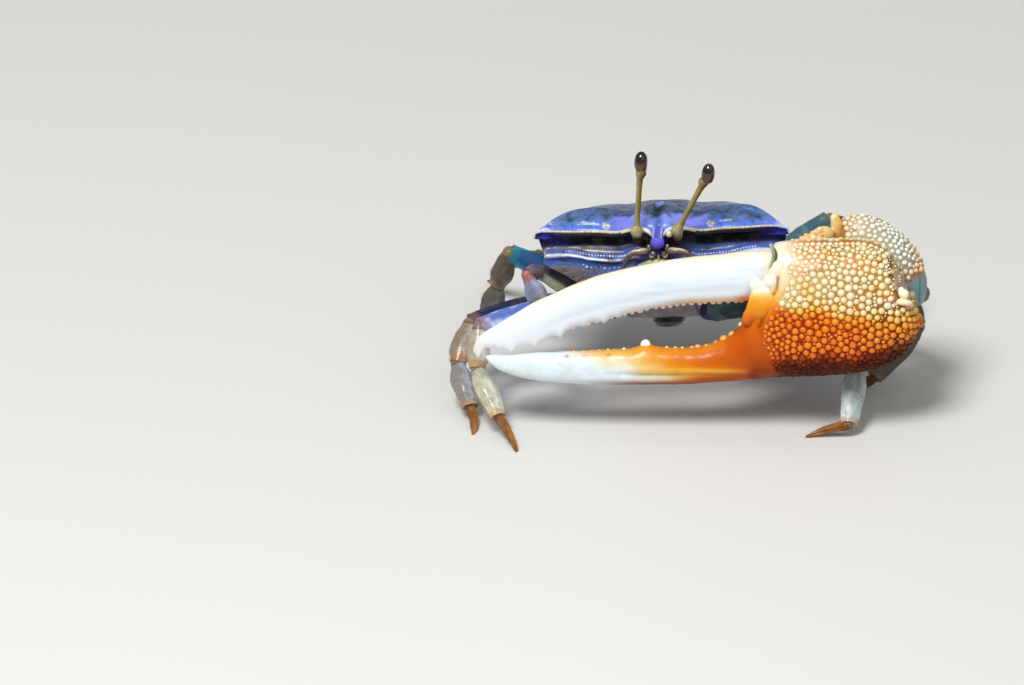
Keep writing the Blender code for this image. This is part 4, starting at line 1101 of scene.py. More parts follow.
        # Painted highlights on the grains' tops: near white on the pale grains, a brighter orange on the orange ones.
        clay.coat("#fff6dc", 0.35 * rise(0.85, 1.0, tops) * rise(0.4, 0.15, warm))
        clay.coat("#ffa82a", 0.4 * rise(0.8, 1.0, tops) * rise(0.25, 0.4, warm) * rise(0.75, 0.55, warm))
        return clay

    def teeth(self) -> Clay:
        """The biting edge's grains in two uneven rows, the large round tooth among them."""
        chance = random.Random(self.seed + 2)
        rows = []
        for (low, high, count), offset, drop in ((self.tooth_row, 0.0, 0.02), (self.second_row, -0.75, 0.62)):
            for step in range(count):
                place = low + (high - low) * (step + chance.uniform(-0.2, 0.2)) / (count - 1)
                top = float(curve(HAND_TOP, np.array([place]))[0])
                radius = chance.uniform(0.24, 0.46) * (1.0 if offset == 0 else 0.72)
                radius *= 0.62 + 0.6 * min(1.0, max(0.0, (place + 3) / 9))
                rows.append((place, offset + chance.uniform(-0.16, 0.16), top - drop - 0.35 * radius, radius))
        place, radius = self.knob
        top = float(curve(HAND_TOP, np.array([place]))[0])
        rows.append((place, -0.1, top + 0.62 * radius, radius))
        rows = np.array(rows)
        sizes = rows[:, 3:] * np.array([[1.0, 1.0, 1.08]])
        clay = copies("pollex_teeth", bead_seed(3), rows[:, :3], sizes)
        tone = np.random.default_rng(self.seed).random(len(rows))[clay.owners]
        clay.ramp([(0.0, "#f0e0ac"), (0.45, "#ecc45c"), (0.8, "#e08a20"), (1.0, "#cfae3a")], tone)
        clay.coat("#fbf7ee", (clay.owners == len(rows) - 1).astype(float))
        clay.coat("#c86a08", 0.8 * rise(0.1, -0.7, clay.shape[:, 2]))
        return clay

    def hinge(self) -> Clay:
        """The two white lobes that the movable finger turns between, and the nodules of the wrist's hinge."""
        radius = self.lobe_radius
        parts = [pebble("lobe", lobe, (radius, radius * 0.8, radius * 1.08)) for lobe in self.lobes]
        parts.append(pebble("knuckle", (10.05, -2.75, 1.35), (0.8, 0.7, 0.95), turned(20, "Y")))
        parts.append(tube("tongue", smooth_line(self.tongue, 40), self.tongue_radii, 24, flatness=0.36))
        parts.append(pebble("corner", (13.75, -2.7, 7.5), (1.0, 0.62, 1.0)))
        parts.append(pebble("nodule", (28.5, -3.3, 4.45), (0.7, 0.6, 0.6), turned(25, "Y")))
        parts.append(pebble("nodule", (28.2, -3.2, 4.9), (0.4, 0.4, 0.4)))
        parts.append(pebble("ledge", (28.55, -3.35, 3.45), (1.1, 0.65, 0.44), turned(8, "Y")))
        clay = Clay(fuse(merge("hinge_lobes", parts), 0.085, 5), "#f2ead4")
        clay.push(0.04 * drift(clay.points, 0.8, 4.0))
        front = (clay.x < 20).astype(float)
        clay.ramp(
            [(0.0, "#b84400"), (1.2, "#cc5c00"), (2.2, "#de8000"), (3.5, "#e89a0c"), (4.4, "#eec068"),
             (5.1, "#f4eada"), (6.6, "#f5f0e4"), (8.5, "#f3e6c4")],
            clay.z + 0.3 * drift(clay.points, 1.0, 6.0), front,
        )
        clay.ramp([(3.0, "#dca080"), (3.5, "#f2dcc4"), (3.95, "#e9e2a8"), (4.8, "#f2f2d2")], clay.z, 1 - front)
        return clay

    def build(self) -> None:
        """Makes the hand, its grains, its teeth and its hinge."""
        body = HAND.skin("great_hand", refined(HAND_STATIONS, self.refine), self.sides)
        clay = Clay(body, "#e8eef4")
        self.carve(clay)
        self.paint_finger(clay)
        self.paint_palm(clay)
        set_in_place(clay, CLAW, BEADED_CLAW, ("major_palm", "major_pollex"))
        set_in_place(self.grains(), CLAW, GRAIN, sharp=80)
        set_in_place(self.teeth(), CLAW, GRAIN, sharp=80)
        set_in_place(self.hinge(), CLAW, GRAIN, sharp=80)


@dataclass
class GreatFinger:
    """The movable finger: a long white blade, hooked at its tip, with teeth along its lower edge."""

    sides: int = 80
    refine: int = 14
    tooth_row: tuple = (-10.6, 9.4, 24)
    # The blade's cusps near its tip: place, height and half width.
    fangs: tuple = (
        (-20.5, 0.25, 0.35), (-19.5, 0.35, 0.4), (-18.0, 0.75, 0.5), (-15.2, 0.75, 0.6), (-12.2, 0.85, 0.5),
        (-9.4, 0.3, 0.4), (-7.0, 0.6, 0.45), (-5.4, 0.3, 0.35),
    )

    def paint(self, clay: Clay) -> None:
        """White with a breath of blue, cream along the top and orange at the root of the teeth."""
        x, z = clay.x, clay.z
        top, low = curve(FINGER_TOP, x), curve(FINGER_BOTTOM, x)
        middle = (z - low) / np.maximum(top - low, 0.1)
        clay.coat("#d5e2ef", 0.6 * hump(middle, 0.42, 0.3) * rise(-20, -10, x))
        clay.coat("#f7e9c4", 0.9 * rise(0.8, 0.97, middle) * rise(-21, -14, x))
        streaks = drift(np.stack([x * 0.12, clay.y, z * 1.6], axis=1), 0.55, 6.0)
        clay.coat("#c3d3e4", 0.45 * rise(0.1, 0.8, streaks) * rise(-12, 0, x))
        clay.coat("#ecd2a0", 0.7 * rise(1.3, 0.3, z - low) * rise(-2.0, 4.0, x))
        clay.coat("#e9a558", 0.7 * rise(0.5, 0.0, z - low) * rise(-6.0, 2.0, x))
        clay.coat("#f09a2a", rise(4.3, 3.1, z + 0.3 * drift(clay.points, 1.0, 2.0)) * rise(7.8, 9.6, x) * 0.95)
        clay.coat("#f2ddb0", 0.8 * rise(11.0, 13.0, x) * rise(6.0, 7.5, z))
        clay.coat("#6a4a22", 0.75 * clay.near((12.7, -1.9, 8.6), 0.5))
        clay.coat("#5a4630", 0.9 * clay.near((-8.4, -0.7, 5.2), 0.24))
        clay.coat("#d9cdb0", 0.5 * rise(-20.9, -22.0, x))

    def teeth(self) -> Clay:
        """Small grains along the biting edge, and the few fangs near the tip."""
        chance = random.Random(31)
        rows = []
        low, high, count = self.tooth_row
        for step in range(count):
            place = low + (high - low) * (step + chance.uniform(-0.18, 0.18)) / (count - 1)
            edge = float(curve(FINGER_BOTTOM, np.array([place]))[0])
            radius = chance.uniform(0.25, 0.36)
            rows.append((place, chance.uniform(-0.15, 0.1), edge + 0.02, radius * 1.1, radius, radius))
        for place, height, _ in self.fangs:
            edge = float(curve(FINGER_BOTTOM, np.array([place]))[0])
            rows.append((place - 0.05, 0.0, edge - 0.55 * height, 0.2, 0.22, height * 0.5))
        rows = np.array(rows)
        clay = copies("dactyl_teeth", bead_seed(3), rows[:, :3], rows[:, 3:])
        clay.ramp([(-12.0, "#e9eef4"), (-4.0, "#efe8d2"), (3.0, "#f0dcb4"), (9.0, "#eeb468")], clay.x)
        return clay

    def bite(self, x: np.ndarray) -> np.ndarray:
        """How far the biting edge reaches down in cusps, each with hollow sides."""
        cusps = [height * np.exp(-np.abs(x - place) / width) for place, height, width in self.fangs]
        return np.max(cusps, axis=0)

    def build(self) -> None:
        """Makes the finger and its teeth."""
        blade = FINGER.skin("great_dactyl", refined(FINGER_STATIONS, self.refine), self.sides)
        clay = Clay(blade, "#e8eef4")
        x = clay.x
        top, low = curve(FINGER_TOP, x), curve(FINGER_BOTTOM, x)
        middle = (clay.z - low) / np.maximum(top - low, 0.1)
        relief = -0.09 * hump(middle, 0.3, 0.09) * rise(-17, -10, x) * rise(11, 7, x)
        relief -= 0.07 * hump(middle, 0.86, 0.05) * rise(-17, -8, x) * rise(12, 8, x)
        relief += 0.04 * drift(clay.points, 2.5, 3.0)
        clay.points[:, 2] -= self.bite(x) * rise(0.4, 0.0, middle)
        clay.push(relief)
        self.paint(clay)
        set_in_place(clay, CLAW, WHITE_CLAW, ("major_dactyl",))
        set_in_place(self.teeth(), CLAW, WHITE_CLAW, sharp=80)


def smooth_line(knots: tuple, count: int) -> np.ndarray:
    """Points along a smooth curve through the given ones, spaced evenly by number."""
    knots = np.array(knots, float)
    steps = np.linspace(0, len(knots) - 1, count)
    return np.stack([curve(tuple(enumerate(knots[:, axis])), steps) for axis in range(3)], axis=1)


def tube(
    name: str, line: np.ndarray, radii: tuple, sides: int, across: tuple = (1, 0, 0), flatness: float = 1.0,
    power: float = 2.0,
) -> bpy.types.Object:
    """A closed round-ended tube along a line, for a form that bends too much to be drawn out straight.

    Args:
        name: The piece's name.
        line: The points of its middle line.
        radii: The radii in turn, spread evenly along the line.
        sides: How many points go round it.
        across: The direction of its wide side.
        flatness: Its thickness as a share of its width.
        power: Two for an oval, more for a squarer outline.

    Returns:
        The new piece.
    """
    spread = np.linspace(0, 1, len(line))
    sizes = curve(tuple(zip(np.linspace(0, 1, len(radii)), radii)), spread)
    ways = np.gradient(line, axis=0)
    ways /= np.linalg.norm(ways, axis=1)[:, None]
    stops = [(0, -0.95, 0.3), (0, -0.7, 0.7), (0, -0.35, 0.93)]
    stops += [(i, 0.0, 1.0) for i in range(len(line))]
    stops += [(-1, 0.35, 0.93), (-1, 0.7, 0.7), (-1, 0.95, 0.3)]
    angles = np.arange(sides) * 2 * math.pi / sides
    round_across = np.sign(np.cos(angles)) * np.abs(np.cos(angles)) ** (2 / power)
    round_up = np.sign(np.sin(angles)) * np.abs(np.sin(angles)) ** (2 / power)
    rings = []
    for index, beyond, share in stops:
        along = ways[index]
        side = np.array(across, float) - along * np.dot(across, along)
        side /= np.linalg.norm(side)
        up = np.cross(along, side)
        middle = line[index] + along * sizes[index] * flatness * beyond
        half = sizes[index] * share
        rings.append(middle + np.outer(round_across * half, side) + np.outer(round_up * half * flatness, up))
    return loft(name, rings)


# The body


@dataclass
class Carapace:
    """The domed back with its beaded margin, its pits and the narrow lobe between the eyestalks."""

    front_edge: tuple = (
        (0.0, 0.03), (0.09, 0.035), (0.16, 0.065), (0.4, 0.088), (0.67, 0.11), (0.88, 0.15), (1.0, 0.15),
    )
    side_edge: tuple = (
        (1.0, 0.15), (0.955, 0.26), (0.87, 0.42), (0.755, 0.62),
        (0.63, 0.80), (0.5, 0.925), (0.36, 0.985), (0.0, 1.0),
    )
    front_rise: tuple = (
        (0.0, 1.2), (0.14, 1.45), (0.22, 1.55), (0.34, 1.2), (0.5, 1.32), (0.7, 1.3), (0.86, 1.25), (0.94, 1.1),
        (1.0, 0.8),
    )
    side_rise: tuple = ((0.0, 0.3), (0.08, 0.4), (0.3, 0.3), (0.7, -0.3), (1.0, -1.3))
    front_steps: int = 80
    side_steps: int = 56
    centre: tuple = (0.0, 0.47 * SHELL_LENGTH, 0.0)
    under: float = -0.8
    pits: tuple = ((-6.3, 2.2, 1.9), (6.2, 2.2, 1.9))
    spot: tuple = (-0.15, 7.2, 2.8)
    margin_bead: float = 0.16
    margin_step: float = 0.2

    def stretch(self, outline: tuple, rises: tuple, steps: int, by_width: bool) -> np.ndarray:
        """Points of one stretch of the edge, each with its height."""
        share = np.arange(steps) / steps
        last = len(outline) - 1
        across = curve(tuple((i / last, knot[0]) for i, knot in enumerate(outline)), share)
        back = curve(tuple((i / last, knot[1]) for i, knot in enumerate(outline)), share)
        height = curve(rises, across if by_width else share)
        return np.stack([across * HALF_WIDTH, back * SHELL_LENGTH, height], axis=1)

    def edge(self) -> np.ndarray:
        """The whole edge of the shell, once round from the middle of its front."""
        half = np.vstack([
            self.stretch(self.front_edge, self.front_rise, self.front_steps, True),
            self.stretch(self.side_edge, self.side_rise, self.side_steps, False),
            [[0.0, SHELL_LENGTH, self.side_rise[-1][1]]],
        ])
        ring = np.vstack([half, (half[1:-1] * (-1, 1, 1))[::-1]])
        ring[:, 0] += 0.5 * rise(12.5, 15.2, ring[:, 0])
        ring[:, 2] += 0.25 * rise(-12.5, -15.2, ring[:, 0])
        return ring

    def drawn_in(
        self, edge: np.ndarray, share: float, level: float | np.ndarray = 0.0, follow: float = 1.0, inset: float = 0.0
    ) -> np.ndarray:
        """The edge drawn in towards the middle of the shell.

        Args:
            edge: The shell's edge.
            share: The share of its size that is left.
            level: How far up the ring is moved.
            follow: How much of the edge's own rise and fall the ring keeps.
            inset: How far the front is set back.

        Returns:
            The ring's points.
        """
        centre = np.array(self.centre)
        ring = centre + (edge - centre) * share
        ring[:, 2] = edge[:, 2] * follow + level
        ring[:, 1] += inset * np.maximum(0.0, 1 - edge[:, 1] / (0.32 * SHELL_LENGTH))
        return ring

    def dome(self, edge: np.ndarray, share: float) -> np.ndarray:
        """One ring of the back, with its two low swellings."""
        ring = self.drawn_in(edge, share)
        lift = DOME_HEIGHT * (1 - share**3.2) ** 0.8
        wide = np.abs(ring[:, 0])
        swell = 0.55 * hump(wide, 10.6, 3.0) - 0.42 * hump(wide, 4.4, 1.9) + 0.36 * hump(ring[:, 0], 12.0, 2.2)
        lift = lift + swell * (1 - share**8)
        ring[:, 2] = edge[:, 2] * share + lift
        return ring

    def carve(self, clay: Clay) -> None:
        """The pits, the branchial furrows and the faint unevenness of the back."""
        x, y = clay.x, clay.y
        top = (clay.normals[:, 2] > 0.2).astype(float)
        depth = 0.3 * clay.near_line([(0.0, 5.0), (0.0, 14.0)], 3.0, (0, 1))
        depth -= 0.06 * clay.near_line([(-6.2, 9.0), (-3.6, 7.2), (-2.2, 5.4)], 0.45, (0, 1))
        depth -= 0.06 * clay.near_line([(6.2, 9.0), (3.6, 7.2), (2.2, 5.4)], 0.45, (0, 1))
        depth -= 0.05 * clay.near_line([(-2.4, 12.4), (0.0, 13.2), (2.4, 12.4)], 0.45, (0, 1))
        depth -= 0.06 * clay.near_line([(-3.6, 7.2), (-2.7, 10.4), (-3.6, 14.5)], 0.4, (0, 1))
        depth -= 0.06 * clay.near_line([(3.6, 7.2), (2.7, 10.4), (3.6, 14.5)], 0.4, (0, 1))
        depth -= 0.10 * clay.near_line([(0.0, 0.8), (0.0, 3.6)], 0.35, (0, 1))
        for pit in self.pits:
            round_pit = hump(np.hypot(x - pit[0], (y - pit[1]) * 1.1), 0.0, 0.45)
            depth += 0.14 * round_pit - 0.2 * hump(x - pit[0], 0.06, 0.18) * hump(y - pit[1], 0.05, 0.4)
        depth += 0.03 * drift(clay.points, 1.6, 2.0) + 0.012 * drift(clay.points, 0.5, 5.0)
        depth -= 0.10 * hump(y - curve(self.rib_line(), np.abs(x)), 0.42, 0.22) * top
        clay.push(depth * top)

    def rib_line(self) -> tuple:
        """How far back the front margin lies, by the distance from the middle."""
        return tuple((knot[0] * HALF_WIDTH + 1e-4 * i, knot[1] * SHELL_LENGTH)
                     for i, knot in enumerate(self.front_edge))

    def paint(self, clay: Clay, edge: np.ndarray) -> None:
        """Violet along the front, blue to the corners, navy and teal mottling behind."""
        x, y, z = clay.x, clay.y, clay.z
        wide = np.abs(x)
        behind = y - curve(self.rib_line(), wide)
        mottle = drift(clay.points, 1.3, 7.0)
        broad = drift(clay.points, 3.6, 3.0)
        clay.ramp([(0.0, "#384a6c"), (5.0, "#425a88"), (9.0, "#5070a2"), (13.0, "#587ab0")], wide)
        clay.coat("#506a86", 0.6 * rise(0.05, 0.8, mottle + 0.6 * broad))
        clay.coat("#20263e", 0.65 * rise(0.2, 0.9, -mottle + 0.4 * broad))
        clay.coat("#6a5f58", 0.55 * rise(0.3, 0.8, drift(clay.points, 0.7, 11.0)))
        clay.coat("#4a6a9c", 0.5 * rise(0.2, 0.7, drift(clay.points, 0.6, 21.0)))
        clay.coat("#161b32", 0.45 * rise(0.2, 0.7, drift(clay.points, 0.55, 31.0)))
        clay.coat("#3f5cc4", 0.8 * rise(7.5, 10.0, x) * rise(3.0, 4.6, behind) * rise(9.0, 7.0, behind))
        deep = curve(((0.0, 1.8), (4.6, 2.0), (7.0, 1.0), (9.5, 0.55), (12.0, 0.4), (16.0, 0.3)), wide)
        deep = deep + 0.3 * mottle
        band = rise(deep + 0.45, deep - 0.45, behind + 0.5 * drift(clay.points, 0.7, 17.0))
        clay.ramp(
            [(0.0, "#6680cc"), (1.4, "#7890e4"), (3.2, "#8284e8"), (5.0, "#7c80e6"), (6.6, "#6080e4"),
             (10.5, "#5074dc"), (13.4, "#5c78da"), (15.0, "#b4c6ff")],
            wide + 0.5 * broad, band,
        )
        clay.coat("#8c98f6", 0.5 * band * rise(0.1, 0.8, mottle) * rise(7.0, 5.0, wide))
        clay.coat("#4a8fe8", 0.5 * band * rise(0.0, 0.7, -mottle) * rise(5.0, 7.5, wide))
        clay.coat("#3a4aa8", 0.5 * hump(x, 0.0, 0.55) * band)
        for pit in self.pits:
            clay.coat("#44549c", 0.35 * clay.near(pit, 1.3))
            round_pit = hump(np.hypot(x - pit[0], (y - pit[1]) * 1.1), 0.0, 0.45) * (z > 0.6)
            clay.coat("#d8dabe", rise(0.3, 0.7, round_pit))
            clay.coat("#6a6244", 0.9 * hump(x - pit[0], 0.06, 0.17) * hump(y - pit[1], 0.15, 0.3) * (z > 0.6))
        flat = (clay.points - self.spot) / (0.48, 2.6, 2.2)
        patch = rise(1.25, 0.8, np.linalg.norm(flat, axis=1) + 0.15 * drift(clay.points, 0.7, 3.0))
        clay.coat("#0e1022", 0.9 * rise(2.0, 1.3, np.linalg.norm(flat, axis=1)))
        clay.coat("#2a74ff", patch)
        outer = rise(0.94, 0.995, np.linalg.norm((clay.points - self.centre)[:, :2], axis=1)
                     / np.maximum(self.reach(clay, edge), 0.1))
        clay.coat("#7f8fe8", 0.5 * outer * rise(2.6, 3.4, y) * (z > -1.6))
        clay.coat("#b9a989", 0.55 * rise(0.55, 1.0, outer) * rise(3.0, 4.5, y) * rise(-0.2, 0.3, mottle))
        clay.coat("#b9c8ff", rise(13.6, 14.9, wide) * rise(4.5, 3.0, y) * 0.8)
        # The downward-facing underside of the rolled edge, which takes painted shade and a painted highlight line.
        under = rise(0.12, -0.25, clay.normals[:, 2])
        self.paint_under(clay, under, behind, wide, mottle)

    def paint_under(
        self, clay: Clay, under: np.ndarray, behind: np.ndarray, wide: np.ndarray, mottle: np.ndarray
    ) -> None:
        """The rolled edge over the eye's trough, facing down: painted shade over it all, then brown, then a blue line
        that is a painted highlight, then almost black as painted shade.
        """
        # Painted shade on the whole underside, then from the edge inwards: brown, a blue painted highlight line, and
        # near black painted shade.
        clay.coat("#12142c", under)
        clay.ramp(
            [(0.0, "#4a3a2c"), (0.13, "#241a1c"), (0.26, "#1b1b46"), (0.38, "#4450c8"), (0.62, "#343cac"),
             (0.85, "#101230"), (1.6, "#06070f")],
            behind + 0.05 * mottle, under * rise(2.6, 2.0, behind),
        )
        clay.coat("#2c2fa0", (0.45 + 0.3 * (clay.x > 0)) * under * rise(10.5, 13.0, wide) * rise(3.2, 2.0, behind))

    def reach(self, clay: Clay, edge: np.ndarray) -> np.ndarray:
        """How far the shell's edge lies from its middle, in the direction of each point."""
        away = (edge - self.centre)[:, :2]
        angles = np.arctan2(away[:, 1], away[:, 0])
        order = np.argsort(angles)
        here = np.arctan2(clay.y - self.centre[1], clay.x)
        return np.interp(here, angles[order], np.linalg.norm(away, axis=1)[order], period=2 * math.pi)

    def lobe(self) -> Clay:
        """The narrow front lobe: a flat neck that ends in a rounded violet knob."""
        line = smooth_line(((0, 2.2, 1.35), (0, 0.8, 1.3), (0, -0.2, 1.2), (0, -0.7, 0.8)), 40)
        neck = tube("front_lobe", line, (0.95, 0.85, 0.68, 0.6), 32, flatness=0.66)
        knob = pebble("knob", (0, -0.85, 0.38), (0.9, 0.66, 0.86))
        clay = Clay(fuse(merge("front_lobe", [neck, knob]), 0.08, 4), "#5a55c8")
        clay.push(-0.06 * hump(clay.x, 0, 0.2) * rise(0.8, 1.2, clay.z))
        clay.ramp([(-0.5, "#3f3296"), (0.0, "#5d50c8"), (0.6, "#6a62e4"), (1.1, "#4d57bc")], clay.z)
        # Painted highlights: two pale lines along the neck's upper corners.
        clay.coat("#d4d4ec", 0.7 * hump(np.abs(clay.x), 0.5, 0.12) * rise(0.8, 1.1, clay.z))
        return clay

    def margin(self, edge: np.ndarray) -> Clay:
        """The row of tiny cream beads along the front edge, as far as the corners."""
        places = []
        count = self.front_steps
        for line in (edge[: count + 1], np.roll(edge[::-1], 1, axis=0)[: count + 1]):
            line = line[np.abs(line[:, 0]) > 0.9]
            steps = np.concatenate([[0], np.cumsum(np.linalg.norm(np.diff(line, axis=0), axis=1))])
            at = np.arange(0, steps[-1], self.margin_step)
            places.append(np.stack([np.interp(at, steps, line[:, axis]) for axis in range(3)], axis=1))
        places = np.vstack(places) + (0, -0.04, -0.04)
        chance = np.random.default_rng(5)
        sizes = self.margin_bead * chance.uniform(0.85, 1.12, (len(places), 3)) * (0.78, 0.9, 1.0)
        clay = copies("margin_beads", bead_seed(), places, sizes)
        tone = chance.random(len(places))[clay.owners]
        clay.ramp([(0.0, "#cdbb8c"), (0.5, "#e0d2a6"), (1.0, "#efe8cc")], tone)
        clay.coat("#b4c6f6", rise(12.6, 14.2, np.abs(clay.x)) * 0.8)
        clay.coat("#e9e6e2", 0.8 * rise(3.2, 2.2, np.abs(clay.x)))
        return clay

    def arches(self) -> Clay:
        """The two smooth white arches of the margin where it climbs over the eyestalks to the lobe."""
        parts = []
        for side in Side:
            line = smooth_line([side.point(p) for p in ((0.62, 0.0, 0.95), (1.2, 0.1, 1.55), (2.2, 0.75, 1.72),
                                                         (3.3, 1.15, 1.45), (4.4, 1.35, 1.12))], 26)
            parts.append(tube("arch", line, (0.16, 0.26, 0.24, 0.17, 0.1), 12))
        clay = Clay(merge("margin_arches", parts), "#d8cfc0")
        clay.ramp([(0.6, "#b8b0c8"), (1.4, "#e8e4e2"), (2.6, "#d9c9a0"), (4.0, "#cdbb8c")], np.abs(clay.x))
        return clay

    def build(self) -> None:
        """Makes the back, its lobe and its margin."""
        edge = self.edge()
        shares = np.concatenate([np.linspace(0.03, 0.88, 34), np.linspace(0.9, 0.996, 14)])
        rings = [self.dome(edge, share) for share in shares]
        rims = ((1.0, -0.04), (1.002, -0.14), (1.0, -0.28), (0.993, -0.42), (0.98, -0.56), (0.965, -0.66),
                (0.95, -0.62), (0.93, -0.66), (0.9, -0.78), (0.86, -0.85), (0.8, -0.9), (0.7, -0.9), (0.5, -0.85))
        thin = 1 - 0.5 * rise(12.0, 14.8, np.abs(edge[:, 0]))
        rings += [self.drawn_in(edge, share, level * thin) for share, level in rims]
        middle = np.array(self.centre)
        skin = loft("carapace_shell", rings, (middle + (0, 0, DOME_HEIGHT), middle + (0, 0, self.under)))
        clay = Clay(skin)
        self.carve(clay)
        self.paint(clay, edge)
        set_in_place(clay, BODY, BACK_SHELL, ("carapace",))
        set_in_place(self.lobe(), BODY, FACE_SHELL, sharp=80)
        set_in_place(self.margin(edge), BODY, GRAIN, sharp=80)
        set_in_place(self.arches(), BODY, GRAIN, sharp=80)


@dataclass
class UnderBody:
    """The face, flanks and breast under the shell, with the trough that the eyestalks fold into."""

    shell: Carapace
    # Ring by ring: share of the shell's edge, how far it follows that edge, its level, its front's inset.
    rings: tuple = (
        (0.975, 1.0, -0.3, 2.35), (0.965, 1.0, -0.9, 2.5), (0.95, 1.0, -1.7, 2.35), (0.935, 1.0, -2.3, 1.9),
        (0.928, 1.0, -2.6, 1.1), (0.928, 1.0, -2.76, 0.35), (0.935, 1.0, -2.95, 0.0), (0.936, 1.0, -3.3, 0.08),
        (0.90, 0.85, -3.62, 0.3), (0.87, 0.7, -4.0, 0.3), (0.78, 0.3, -5.4, 0.1), (0.58, 0.0, -7.6, 0.3),
        (0.44, 0.0, -9.4, 1.0), (0.28, 0.0, -10.8, 1.6),
    )
    # How far the ridge hangs below the shell's edge line, by the distance from the middle.
    sag: tuple = ((0.0, 0.3), (3.0, 0.55), (5.0, 0.6), (7.0, 0.62), (8.5, 0.5), (9.6, 0.25), (11.3, 0.05), (13.0, 0.1),
                  (16.0, -0.2))
    bead_reach: tuple = (3.9, 11.4)
    refine: int = 7
    leg_roots: tuple = ((9.6, 4.6, -8.0), (10.2, 8.0, -8.1), (9.6, 11.4, -8.0), (8.1, 14.4, -7.7))
    claw_root: tuple = (6.4, 2.0, -8.8)
    coxa_radius: float = 1.35
    ridge_bead: float = 0.15
    ridge_step: float = 0.36

    def skin(self) -> bpy.types.Object:
        """The whole closed form, ring by ring under the shell's edge."""
        edge = self.shell.edge()
        steps = np.linspace(0, len(self.rings) - 1, (len(self.rings) - 1) * self.refine + 1)
        top = np.array(self.shell.centre) + (0, 0, -0.6)
        return loft("under_body", [self.ring_at(edge, step) for step in steps], (top, None))

    def ring_at(self, edge: np.ndarray, step: float) -> np.ndarray:
        """The ring of the skin at a step between the named rings."""
        share, follow, level, inset = [
            float(curve(tuple(enumerate(column)), np.array([step]))[0]) for column in zip(*self.rings)
        ]
        ring = self.shell.drawn_in(edge, share, level, follow, inset)
        ring[:, 2] -= curve(self.sag, np.abs(ring[:, 0])) * float(rise(1.5, 3.5, step)) * rise(6.0, 3.0, ring[:, 1])
        return ring

    def carve(self, clay: Clay) -> None:
        """The mouth's frame, the ridge under the trough, the breast's plates and the flank's folds."""
        x, y, z = clay.x, clay.y, clay.z
        front = rise(3.4, 2.0, y)
        wide = np.abs(x)
        depth = 0.22 * hump(z - self.level(wide), 0.0, 0.15) * front * rise(2.6, 3.4, wide)
        depth -= 0.2 * hump(z - self.level(wide), -0.36, 0.18) * front * rise(2.6, 3.4, wide)
        lip = z - self.level(wide) - curve(self.sag, wide)
        depth += 0.1 * hump(lip, 0.7, 0.12) * front * rise(2.6, 3.4, wide)
        for sign in (1, -1):
            line = [(sign * 2.6, -3.4), (sign * 3.9, -4.2), (sign * 4.1, -6.2), (sign * 3.5, -8.6)]
            depth -= 0.3 * clay.near_line(line, 0.28) * rise(5.0, 3.6, y)
            depth += 0.14 * clay.near_line([(p[0] * 1.12, p[1]) for p in line], 0.3) * rise(5.0, 3.6, y)
            for row in range(4):
                at = 5.2 + 2.7 * row
                seam = [(sign * 3.2, at), (sign * 8.6, at - 0.4)]
                depth -= 0.22 * clay.near_line(seam, 0.22, (0, 1)) * rise(-6.6, -7.4, z)
        depth += 0.05 * drift(clay.points, 1.5, 2.0) + 0.02 * drift(clay.points, 0.5, 4.0)
        clay.push(depth)

    def level(self, wide: np.ndarray) -> np.ndarray:
        """The height of the ridge under the trough, by the distance from the middle."""
        return curve(self.shell.front_rise, wide / HALF_WIDTH) - 3.0 - curve(self.sag, wide)

    def paint(self, clay: Clay) -> None:
        """Blue face, a trough painted black as painted shade, a film of mud on its lower wall, a near-white line on the
        ridge as a painted highlight over a dark line of painted shadow, and a grey-blue breast.
        """
        x, y, z = clay.x, clay.y, clay.z
        wide = np.abs(x)
        gap = z - self.level(wide)
        mottle = drift(clay.points, 1.1, 6.0)
        broad = drift(clay.points, 3.0, 9.0)
        clay.ramp(
            [(-11.0, "#8f8e96"), (-9.0, "#85879a"), (-7.4, "#5f6488"), (-5.4, "#343c78"), (-3.6, "#3e4fae")],
            z + 0.4 * broad,
        )
        clay.coat("#6b5c4c", 0.5 * rise(0.25, 0.8, mottle) * rise(-5.4, -6.4, z))
        front = rise(6.0, 3.5, y)
        # Across the ridge: a near-white line on its crest as a painted highlight, with darker blue just below it.
        clay.ramp(
            [(-2.6, "#4a6cb8"), (-1.1, "#5682d4"), (-0.6, "#4668b8"), (-0.36, "#36509c"), (-0.2, "#84a0e4"),
             (-0.04, "#f4f8ff"), (0.12, "#d8e0f6"), (0.26, "#5c70b8"), (0.6, "#5064a4")],
            gap + 0.05 * mottle, front * rise(-3.0, -1.8, gap) * rise(2.2, 3.2, wide),
        )
        # Painted shadow: a dark line under the ridge.
        clay.coat("#12173a", 0.9 * hump(gap, -0.42, 0.16) * front * rise(-8.6, -7.4, x))
        lip = gap - curve(self.sag, wide)
